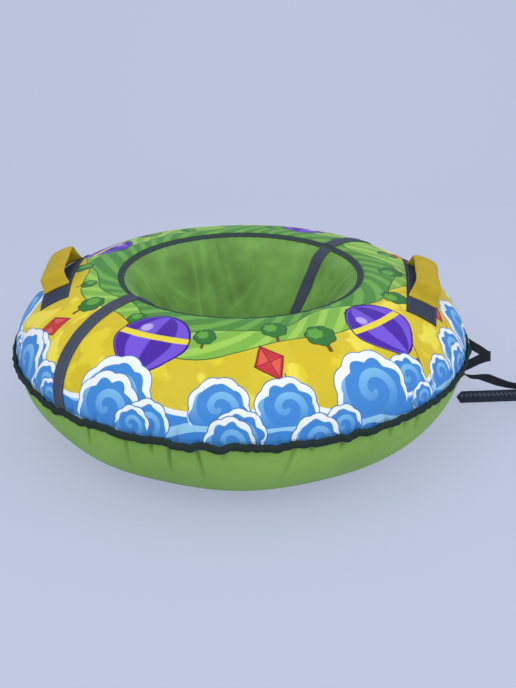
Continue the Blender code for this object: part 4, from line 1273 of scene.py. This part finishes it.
# %% [markdown]
# ## Tow strap
#
# A flat webbing strap that comes over the rim, drops to the ground, lies there in a loose loop and comes back
# with its sewn end beside the tube. A strap bends easily flat but not on its edge, so it turns on its edge
# where it curves on the ground. Its route is a short list of places, each with how far the strap is turned, and a
# smooth curve runs through them.

# %% Tow strap
TOW_MIDDLE = 0.0130
TOW_FALL = ((0.3937, -0.1804, 0.1410, 0.20), (0.4090, -0.1760, 0.1360, 0.38), (0.4225, -0.1655, 0.1292, 0.44),
            (0.4360, -0.1520, 0.1212, 0.42), (0.4543, -0.1330, 0.1065, 0.40), (0.4772, -0.1080, 0.0876, 0.39),
            (0.4987, -0.0830, 0.0695, 0.39), (0.5253, -0.0510, 0.0488, 0.40), (0.5500, -0.0200, 0.0305, 0.48),
            (0.5780, 0.0110, 0.0180, 0.84), (0.6150, 0.0420, 0.0133, 1.00))
TOW_GROUND = ((0.6600, 0.0620), (0.7100, 0.0640), (0.7570, 0.0450), (0.7880, 0.0060), (0.7940, -0.0450),
              (0.7720, -0.0900), (0.7290, -0.1140), (0.6800, -0.1100), (0.6440, -0.0840), (0.6180, -0.0540),
              (0.6000, -0.0355), (0.5820, -0.0265), (0.5620, -0.0270))
TOW_ROUTE = (*TOW_FALL, *((x, y, TOW_MIDDLE, 1.00) for x, y in TOW_GROUND))
TOW_SPACING = 0.005
TOW_WEB_THICKNESS = 0.0020


def smooth_route(route, spacing):
    """Evenly spaced points on a smooth curve through the places of a route, and its length."""
    points = np.array(route)
    ends = np.vstack([2 * points[0] - points[1], points, 2 * points[-1] - points[-2]])
    t = np.arange(0, 1, 0.05)[:, None]
    fine = [0.5 * (2 * b + (c - a) * t + (2 * a - 5 * b + 4 * c - d) * t ** 2 + (3 * b - 3 * c + d - a) * t ** 3)
            for a, b, c, d in zip(ends, ends[1:], ends[2:], ends[3:])]
    fine = np.vstack([*fine, points[-1:]])
    along = travelled(fine[:, :3])
    wanted = np.linspace(0, along[-1], round(along[-1] / spacing) + 1)
    return np.stack([np.interp(wanted, along, column) for column in fine.T], 1), along[-1]


def unit(vectors):
    return vectors / np.linalg.norm(vectors, axis=-1, keepdims=True)


def swept_web(name, route, width, thickness):
    """Flat webbing with soft edges along a route of (x, y, z, turn)."""
    path = route[:, :3]
    tangent = unit(np.gradient(path, axis=0))
    right = unit(np.cross(tangent, [0, 0, 1.0]))
    turn = route[:, 3:] * QUARTER
    wide = np.cos(turn) * right + np.sin(turn) * np.cross(right, tangent)
    turns = np.linspace(0, TAU, 24, endpoint=False)
    across = softened(np.cos(turns), 0.35) * width / 2
    depth = softened(np.sin(turns), 0.6) * thickness / 2
    thick = np.cross(tangent, wide)
    rings = path[:, None] + across[None, :, None] * wide[:, None] + depth[None, :, None] * thick[:, None]
    piece = closed_tube(name, rings)
    pairs = np.stack(np.broadcast_arrays(travelled(path)[:, None], across[None, :]), -1).reshape(-1, 2)
    lay_map(piece, lambda p: pairs)
    return piece


route, tow_length = smooth_route(TOW_ROUTE, TOW_SPACING)
tow_strap = swept_web("tow_strap_webbing", route, WEB_WIDTH - 0.0004, TOW_WEB_THICKNESS)
dress(tow_strap, webbings["black_webbing"], "black_webbing", "tow_strap")
print("tow strap, m:", round(tow_length, 3))

# %% [markdown]
# ## Sewn end of the tow strap
#
# The strap's end is folded back and stitched, so it is two layers thick, stiff and straight, and it stands on its
# edge. Each layer is its own slab with a blunt point, a hair apart from the other.

# %% Sewn end of the tow strap
END_START = np.array(TOW_GROUND[-1])
END_TIP = np.array([0.4290, -0.0345])
END_AXIS = unit(END_TIP - END_START)
END_LENGTH = float(np.linalg.norm(END_TIP - END_START))
END_POINT = 0.009
END_LAYERS = {"tow_strap_end_front": 0.0011, "tow_strap_end_back": -0.0011}
LAYER_HALF = 0.0010
LAYER_START = 0.0006


def end_place(along, up, off):
    """A point of the sewn end: distance along it, height from its middle and depth off its middle plane."""
    x = END_START[0] + END_AXIS[0] * along + END_AXIS[1] * off
    y = END_START[1] + END_AXIS[1] * along - END_AXIS[0] * off
    return np.stack(np.broadcast_arrays(x, y, TOW_MIDDLE + up), -1)


def end_layer(name, depth):
    """One layer of the doubled end, cut to a blunt point."""
    shares, ups = np.linspace(0, 1, 60), np.linspace(-1, 1, 13) * WEB_HALF
    share, up = grid(shares, ups)
    along = LAYER_START + (END_LENGTH - END_POINT * np.abs(up) / WEB_HALF - LAYER_START) * share
    soft = LAYER_HALF * (1 - 0.35 * (np.abs(up) / WEB_HALF) ** 8)
    wave = 0.0002 * np.sin(along * 190) + depth
    piece = slab(name, end_place(along, up, wave + soft), end_place(along, up, wave - soft),
                 lambda i, j: (LAYER_START + (END_LENGTH - LAYER_START) * shares[i], ups[j]))
    return dress(piece, webbings["sewn_webbing"], "black_webbing", "tow_strap_end")


layers = [end_layer(*row) for row in END_LAYERS.items()]
print("sewn end of the tow strap, m:", round(END_LENGTH, 3))

# %% [markdown]
# ## Small grains along a line
#
# The teeth of a zip and the stitches of a seam are one small shape, repeated at even steps along a line. That is
# what instances in Geometry Nodes are for: the line is cut into equal steps, a grain is set on each and turned to
# the line, and at the end all of them become plain mesh.


# %% Small grains along a line
def teeth_along_curve(geometry, pitch, size, up, material):
    """One small rounded grain at each step along a curve, turned square to it."""
    tree = pitch.tree
    curve = add_node(tree, "GeometryNodeMeshToCurve", Mesh=geometry)
    spaced = add_node(tree, "GeometryNodeResampleCurve", "Curve", {"mode": "LENGTH"}, Curve=curve, Length=pitch)
    facing = add_node(tree, "FunctionNodeAxesToRotation", settings={"primary_axis": "X", "secondary_axis": "Z"},
                      Primary_Axis=add_node(tree, "GeometryNodeInputTangent"), Secondary_Axis=up)
    ball = add_node(tree, "GeometryNodeMeshIcoSphere", Radius=1.0, Subdivisions=1)
    placed = add_node(tree, "GeometryNodeInstanceOnPoints", Points=spaced, Instance=ball, Rotation=facing, Scale=size)
    return finished(add_node(tree, "GeometryNodeRealizeInstances", Geometry=placed), material)


TEETH = node_group("GeometryNodeTree", "teeth_along_curve", {
    "Geometry": "Geometry", "Pitch": 0.002, "Size": "Vector", "Up": "Vector", "Material": "Material"},
    "Geometry", teeth_along_curve)


def repeated(name, lines, pitch, size, material, slot, *nodes):
    """Small grains repeated along lines of points, frozen to mesh and dressed. Lines whose ends meet are closed."""
    vertices, edges = [], []
    for line in lines:
        first = len(vertices)
        vertices.extend(tuple(p) for p in line)
        edges.extend((k, k + 1) for k in range(first, len(vertices) - 1))
        if np.linalg.norm(line[0] - line[-1]) < 0.02:
            edges.append((len(vertices) - 1, first))
    mesh = bpy.data.meshes.new(name)
    mesh.from_pydata(vertices, edges, [])
    piece = grown(linked(name, mesh), TEETH, Pitch=pitch, Size=size, Up=(0, 0, 1), Material=material)
    return dress(piece, material, slot, *nodes)


print("inputs of the grains:", [s.name for s in TEETH.interface.items_tree if s.in_out == "INPUT"])

# %% [markdown]
# ## Zip
#
# The inner tube goes in through a zip low in the seat's near side. Two tapes lie side by side on the seat wall,
# each with a row of plastic teeth at its inner edge, and the teeth interlock along the middle.

# %% Zip
ZIP_SIDES = (("upper", 1), ("lower", -1))
TAPE_WIDTH = 0.014
TAPE_GAP = 0.0002
TAPE_THICKNESS = 0.0007
ZIP_RADIUS = 0.172
COIL_INSET = 0.105
TAPE_TURNS = np.linspace(ZIP_START, ZIP_END, 200)
COIL_TURNS = np.linspace(ZIP_START + COIL_INSET, ZIP_END - COIL_INSET, 260)
COIL_PLACE = 0.0010
COIL_LIFT = 0.0017
TOOTH_SIZE = (0.0006, 0.0016, 0.0007)
TOOTH_PITCH = 0.0016


def zip_point(up, azimuth, lift):
    """A point by its distance up the wall from the zip's middle, its azimuth and its height off the wall."""
    return around(*SEAT.at(ZIP_ALONG + np.asarray(up, float), lift), azimuth)


def zip_tape(name, low, high):
    ups = np.linspace(low, high, 7)
    turn, up = grid(TAPE_TURNS, ups)
    flutter = 0.0001 + 0.0001 * np.sin(turn * 60)
    return slab(name, zip_point(up, turn, 0.0004 + TAPE_THICKNESS + flutter), zip_point(up, turn, 0.0003 + flutter),
                lambda i, j: (TAPE_TURNS[i] * ZIP_RADIUS, ups[j]))


for part, sign in ZIP_SIDES:
    tape = zip_tape(f"zip_tape_{part}_cloth", *sorted((sign * TAPE_GAP, sign * TAPE_WIDTH)))
    dress(tape, webbings["zip_tape_cloth"], "zip_tape", f"zip_tape_{part}")
coil_plastic = plain_material("coil_plastic", (44, 48, 50), 300.0, 0.1, 0.45)
for part, sign in ZIP_SIDES:
    repeated(f"zip_coil_{part}_teeth", [zip_point(sign * COIL_PLACE, COIL_TURNS, COIL_LIFT)], TOOTH_PITCH,
             TOOTH_SIZE, coil_plastic, "zip_coil", f"zip_coil_{part}")
print("zip length, mm:", round(1000 * wall_radius(ZIP_HEIGHT) * (ZIP_END - ZIP_START)))

# %% [markdown]
# ## Metal, rubber and plastic
#
# The slider, the stops, the valve and the inner tube keep their measured shapes. Only their surfaces change:
# brushed metal, black rubber, brass and a hard plastic.

# %% Metal, rubber and plastic
KEPT = {
    "zip_metal": (((150, 152, 158), 160.0, 0.12, 0.32, 1.0, 0.00005),
                  ("zip_slider", "zip_pull", "zip_stop_closed", "zip_stop_open")),
    "tube_rubber": (((34, 34, 36), 24.0, 0.12, 0.55, 0.0, 0.0001), ("inner_tube", "valve_stem")),
    "valve_brass": (((196, 168, 96), 160.0, 0.12, 0.3, 1.0, 0.00003), ("valve_core",)),
    "valve_cap_plastic": (((30, 30, 32), 90.0, 0.12, 0.45, 0.0, 0.00004), ("valve_cap",)),
    "slate_webbing": (None, ("handle_left_webbing", "handle_right_webbing")),
}
for name, (finish, nodes) in KEPT.items():
    material = plain_material(name, *finish) if finish else webbings[name]
    for node in nodes:
        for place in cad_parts[node].material_slots:
            place.link = "OBJECT"
            place.material = material
print("kept pieces:", sum(len(nodes) for _, nodes in KEPT.values()))

# %% [markdown]
# ## Stitches
#
# Sewing holds the whole tube together, and its rows are seen at every seam. Each stitch is the same few-sided
# grain as a zip tooth, longer and thinner, laid along a line on the cloth.

# %% Stitches
STITCH_PITCH = 0.0042
STITCH_SIZE = (0.0015, 0.00042, 0.00036)
STITCH_TURN = once_round(1000)
SEAM_INSET = 0.0075
STRAP_ROW = 0.0116
PATCH_ROW = 0.004


def stitch(name, lines, colour, slot):
    repeated(f"stitches_{name}", lines, STITCH_PITCH, STITCH_SIZE, threads[colour], slot)


def patch_row(handle):
    """A closed rectangle of points on the cloth, just inside the edge of a handle's patch."""
    a, b = BASE_LENGTH / 2 - PATCH_ROW, BASE_WIDTH / 2 - PATCH_ROW
    corners = np.array([(-a, -b), (a, -b), (a, b), (-a, b), (-a, -b)])
    share = np.linspace(0, 1, 80)[:-1, None]
    x, y = np.concatenate([p + (q - p) * share for p, q in zip(corners, corners[1:])]).T
    x = handle.middle + x
    return handle.world(x, y, handle.cover(x, y) + 0.0024)


stitch("piping", [across_edge(np.full(1000, share), STITCH_TURN, PIPING_THICKNESS + 0.0002)
                  for share in (-0.72, 0.72)], "dark_thread", "dark_tape")
stitch("rim_top", [on_top(TOP.length - SEAM_INSET, STITCH_TURN, 0.0001)], "dark_thread", "printed_fabric")
stitch("rim_belly", [on_belly(SEAM_INSET, STITCH_TURN, 0.0001)], "lime_thread", "lime_fabric")
for name, azimuth, skew in COVER_STRAPS:
    along = np.linspace(PIPING_HALF + 0.004, TOP.length - 0.008, 200)
    middle = azimuth + skew * (along - PIPING_HALF) / (TOP.length - PIPING_HALF)
    stitch(name, [on_top(along, middle + side * STRAP_ROW / TOP.radius(along), STRAP_THICKNESS + 0.0011)
                  for side in (-1, 1)], "pale_thread", "slate_webbing")
for handle in handles:
    stitch(f"{handle.name}_patch", [patch_row(handle)], "pale_thread", "slate_webbing")

# %% [markdown]
# ## Print: repeated rows
#
# The real cover is printed with a cheerful picture. This one shows a made-up view of the same colours and size of
# shapes. Each shape is a distance worked out from the map: below zero is inside, and a soft step turns it into a
# mask. The masks are laid over each other like paper cut-outs. Trees and clouds come in rows round the tube, so
# each is a node group that repeats its motif, with a fixed random place and size for every copy.

# %% Print: repeated rows
EDGE = 0.0009
INK = (46, 44, 70)
DEEP_BLUE = (64, 136, 210)
FOAM = (234, 242, 246)


def lay(below, colour, distance, edge=EDGE):
    """Lay a screen colour or a picture over another where the distance is below zero."""
    return paint(below, colour if isinstance(colour, Field) else linear(*colour), distance.within(edge))


def chance(number, shift):
    """A fixed random number from 0 to 1 for each whole number."""
    return add_node(number.tree, "ShaderNodeTexWhiteNoise", "Value", {"noise_dimensions": "1D"},
                    W=number * 7.31 + shift)


def row_group(name, draw):
    """A motif repeated round the tube, each copy with its own place and size."""
    def rule(colour, azimuth, along, count, phase, radius, out, size, seed):
        place = azimuth / TAU * count + phase
        number = place.math("FLOOR").math("FLOORED_MODULO", count)
        a, b, c = (chance(number, seed + shift) for shift in (0.1, 3.7, 8.3))
        x = (place.fract() - 0.5 - (a - 0.5) * 0.36) / count * TAU * radius
        y = along - out - (b - 0.5) * size * 0.7
        return draw(colour, x, y, size * (0.70 + c * 0.50), a * 6.0)
    labels = ("Azimuth", "Along", "Count", "Phase", "Radius", "Out", "Size", "Seed")
    return shader_group(name, {"Colour": "Color", **dict.fromkeys(labels, 1.0)}, "Colour", rule)


def draw_row(colour, group, azimuth, along, count, phase, out, size, seed):
    return use(group, Colour=colour, Azimuth=azimuth, Along=along, Count=count, Phase=phase,
               Radius=float(TOP.radius(out)), Out=out, Size=size, Seed=seed)


def cloud(colour, x, y, size, start):
    """A round puff that rolls out of the bank: a white crest, and light blue wound into deep blue below it."""
    turn, reach = y.angle(x), length(x, y)
    gap = reach - size * (0.95 + (turn * 4 + start).sin().abs() * 0.08)
    crest = (0.55 - y / size * 0.9).most(0.0).least(1.0)
    wound = (reach / size * 1.7 - turn / TAU + 0.3).fract() - 0.40
    puff = paint(linear(*DEEP_BLUE), linear(122, 186, 232), (wound * 0.03).within(EDGE) * crest)
    puff = lay(puff, FOAM, gap * -1 - size * 0.24 * crest + (turn * 7 + start).sin() * 0.0020)
    colour = paint(colour, puff, gap.within(EDGE) * crest.above(0.02))
    return paint(colour, linear(52, 108, 178), (gap.abs() - 0.0008).within(EDGE) * crest.above(0.25))


def tree_crown(colour, x, y, size, start):
    """A round tree on a short trunk, with a lighter side."""
    turn = y.angle(x)
    gap = length(x, y) - size * (0.92 + (turn * 3.5 + start).sin().abs() * 0.12)
    trunk = (x.abs() - size * 0.13).most((y - size * 1.25).abs() - size * 0.35)
    lit = length(x + size * 0.25, y + size * 0.25) - size * 0.52
    crown = lay(linear(52, 118, 52), (98, 164, 62), lit + (turn * 9).sin() * 0.0012)
    return lay(lay(lay(colour, (112, 76, 40), trunk), crown, gap), (34, 78, 42), gap.abs() - 0.0008)


TREE_ROW, CLOUD_ROW = row_group("tree_row", tree_crown), row_group("cloud_row", cloud)
print("inputs of a row:", [s.name for s in TREE_ROW.interface.items_tree if s.in_out == "INPUT"])

# %% [markdown]
# ## Print: balloons, kites and hills
#
# Balloons and kites stand between the rows, each at its own azimuth and distance from the seat. A motif gets its
# own x and y in metres first, and then it is circles, stripes and straight edges. Hills grow out from the seat,
# as sums of sines round the tube.

# %% Print: balloons, kites and hills


def local(azimuth, along, middle, out):
    """Metres from a motif's middle: round the tube, and outwards."""
    return (azimuth - math.radians(middle)).wrap(-math.pi, math.pi) * float(TOP.radius(out)), along - out


def draw_balloon(colour, azimuth, along, middle, out, size):
    """A striped hot-air balloon, its top towards the seat, with a basket on two ropes."""
    x, y = local(azimuth, along, middle, out)
    low = y.most(0.0) / size
    wide = x * (1.0 + low * low * 0.75)
    gap = length(wide, y * 0.94) - size
    stripe = ((wide / (size * size - y * y).most(0.00002).math("SQRT")).math("ARCSINE") * 5.0).sin()
    silk = lay(linear(74, 38, 164), (116, 84, 214), stripe, 0.25)
    silk = lay(silk, (232, 214, 66), (y + size * 0.12).abs() - size * 0.10)
    silk = lay(silk, (184, 168, 238), length(wide + size * 0.38, y + size * 0.42) - size * 0.16, 0.004)
    rope_run = (y - size * 0.85) / (size * 0.6)
    rope = (x.abs() - (size * 0.34 - rope_run * size * 0.17)).abs() - 0.0007
    basket = (x.abs() - size * 0.17).most((y - size * 1.42).abs() - size * 0.12)
    for layer, distance in ((INK, rope.most((rope_run - 0.5).abs() * size - size * 0.55)),
                            ((140, 90, 40), basket), (INK, basket.abs() - 0.0007), (silk, gap),
                            ((38, 20, 92), gap.abs() - 0.0012)):
        colour = lay(colour, layer, distance)
    return colour


def draw_kite(colour, azimuth, along, middle, out, size, lean):
    """A red kite with crossed sticks and a dashed tail."""
    x, y = local(azimuth, along, middle, out)
    c, s = math.cos(lean), math.sin(lean)
    x, y = x * c + y * s, y * c - x * s
    gap = (x.abs() * 1.25 + y.abs() * 0.85 - size) * 0.7
    tail = (x - (y * 60.0).sin() * 0.010 * (y / size).least(1.0)).abs() - 0.0008
    dash = (y / 0.0095).fract() - 0.58
    for layer, distance in ((INK, tail.most(dash * 0.004).most(size * 0.9 - y).most(y - size * 3.6)),
                            ((196, 52, 62), gap), ((222, 92, 78), (gap + 0.004).most(x * y * -20.0)),
                            ((120, 28, 44), (x.abs().least(y.abs()) - 0.0007).most(gap)),
                            ((96, 24, 40), gap.abs() - 0.0010)):
        colour = lay(colour, layer, distance)
    return colour


def draw_hills(colour, azimuth, along):
    """Two rows of hills that grow out from the seat's seam, with fields on both."""
    back = along - (0.088 + (azimuth * 3 + 0.4).sin() * 0.026 + (azimuth * 7 + 2).sin() * 0.016)
    front = along - (0.048 + (azimuth * 4 + 2.5).sin() * 0.020 + (azimuth * 9 + 1).sin() * 0.010)
    rows = (azimuth * 34 + along * 150 + (azimuth * 5).sin() * 3).sin()
    far = lay(linear(126, 182, 70), (158, 204, 88), rows + 0.3, 0.4)
    near = lay(linear(76, 140, 56), (108, 168, 70), rows * -1 + 0.2, 0.4)
    for layer, distance in ((far, back), ((50, 100, 46), back.abs() - 0.0010), (near, front),
                            ((38, 84, 42), front.abs() - 0.0010)):
        colour = lay(colour, layer, distance)
    return colour


print("colour of the balloons' seams, linear:", [round(c, 3) for c in linear(38, 20, 92)])

# %% [markdown]
# ## The printed cover
#
# The layers in their order: yellow ground with faint rays and spots, hills by the seat, trees, kites and balloons,
# a bank of blue along the rim with streaks and a white edge, and rows of clouds that rise out of it. The weave
# and the creases come last, over the whole picture, as on real printed cloth, and so does the painted shade in
# the folds.

# %% The printed cover
BALLOONS = ((-116, 0.100, 0.064), (-46, 0.106, 0.060), (62, 0.098, 0.058), (150, 0.100, 0.054))
KITES = ((-150, 0.150, 0.029, 0.5), (-83, 0.128, 0.031, -0.35), (-22, 0.140, 0.027, 0.45), (20, 0.130, 0.028, -0.3),
         (103, 0.125, 0.030, 0.4), (-178, 0.130, 0.027, 0.2))
CLOUDS = ((11, 0.0, 0.204, 0.054, 3.0), (12, 0.5, 0.216, 0.056, 11.0), (15, 0.2, 0.236, 0.040, 5.0),
          (16, 0.7, 0.248, 0.036, 8.0))
TREES = ((9, 0.1, 0.080, 0.023, 2.0), (9, 0.6, 0.056, 0.019, 7.0))


def printed_cloth():
    material, shader, base, uv = new_material("printed_cloth", 0.45, Specular_IOR_Level=0.15)
    around_uv, along, _ = split(uv)
    wobble = (noise(base, 30.0, 2.0) - 0.5) * 0.0030
    azimuth, along = around_uv / MAP_RADIUS + wobble * 3.0, along + wobble
    rays = (azimuth * 17 + (azimuth * 3).sin()).sin()
    colour = lay(linear(222, 204, 48), (234, 220, 78), rays * -1, 0.3)
    colour = paint(colour, linear(206, 184, 40), (0.45 - noise(base, 15.0)).within(0.04) * 0.8)
    colour = draw_hills(colour, azimuth, along)
    for row in TREES:
        colour = draw_row(colour, TREE_ROW, azimuth, along, *row)
    for row in KITES:
        colour = draw_kite(colour, azimuth, along, *row)
    for row in BALLOONS:
        colour = draw_balloon(colour, azimuth, along, *row)
    bank = 0.214 + (azimuth * 5).sin() * 0.010 + (azimuth * 17).sin().abs() * 0.006 - along
    streak = (bank * 160 + (azimuth * 19).sin() * 1.6).sin() - 0.35
    sea = lay(linear(150, 204, 236), DEEP_BLUE, streak, 0.1)
    colour = lay(lay(colour, sea, bank), FOAM, bank.abs() - 0.004)
    for row in CLOUDS:
        colour = draw_row(colour, CLOUD_ROW, azimuth, along, *row)
    weave = use(WEAVE, Map=uv, Thread=0.0009)
    creases = use(CREASES, Vector=base, Scale=18.0)
    # Darker in the weave's pattern, and painted shade in the folds.
    colour = paint(colour, linear(40, 40, 40), (weave - 0.5).abs() * 0.10 + folds(base.tree) * 0.35)
    feed(use(TONE, Vector=base, Colour=colour, Scale=7.0, Share=0.05), shader["Base Color"])
    emboss(shader, creases * 0.85 + weave * 0.15, 0.0009)
    return material


dress(top_cover, printed_cloth(), "printed_fabric", "top_cover")
print("nodes in the print:", len(bpy.data.materials["printed_cloth"].node_tree.nodes))
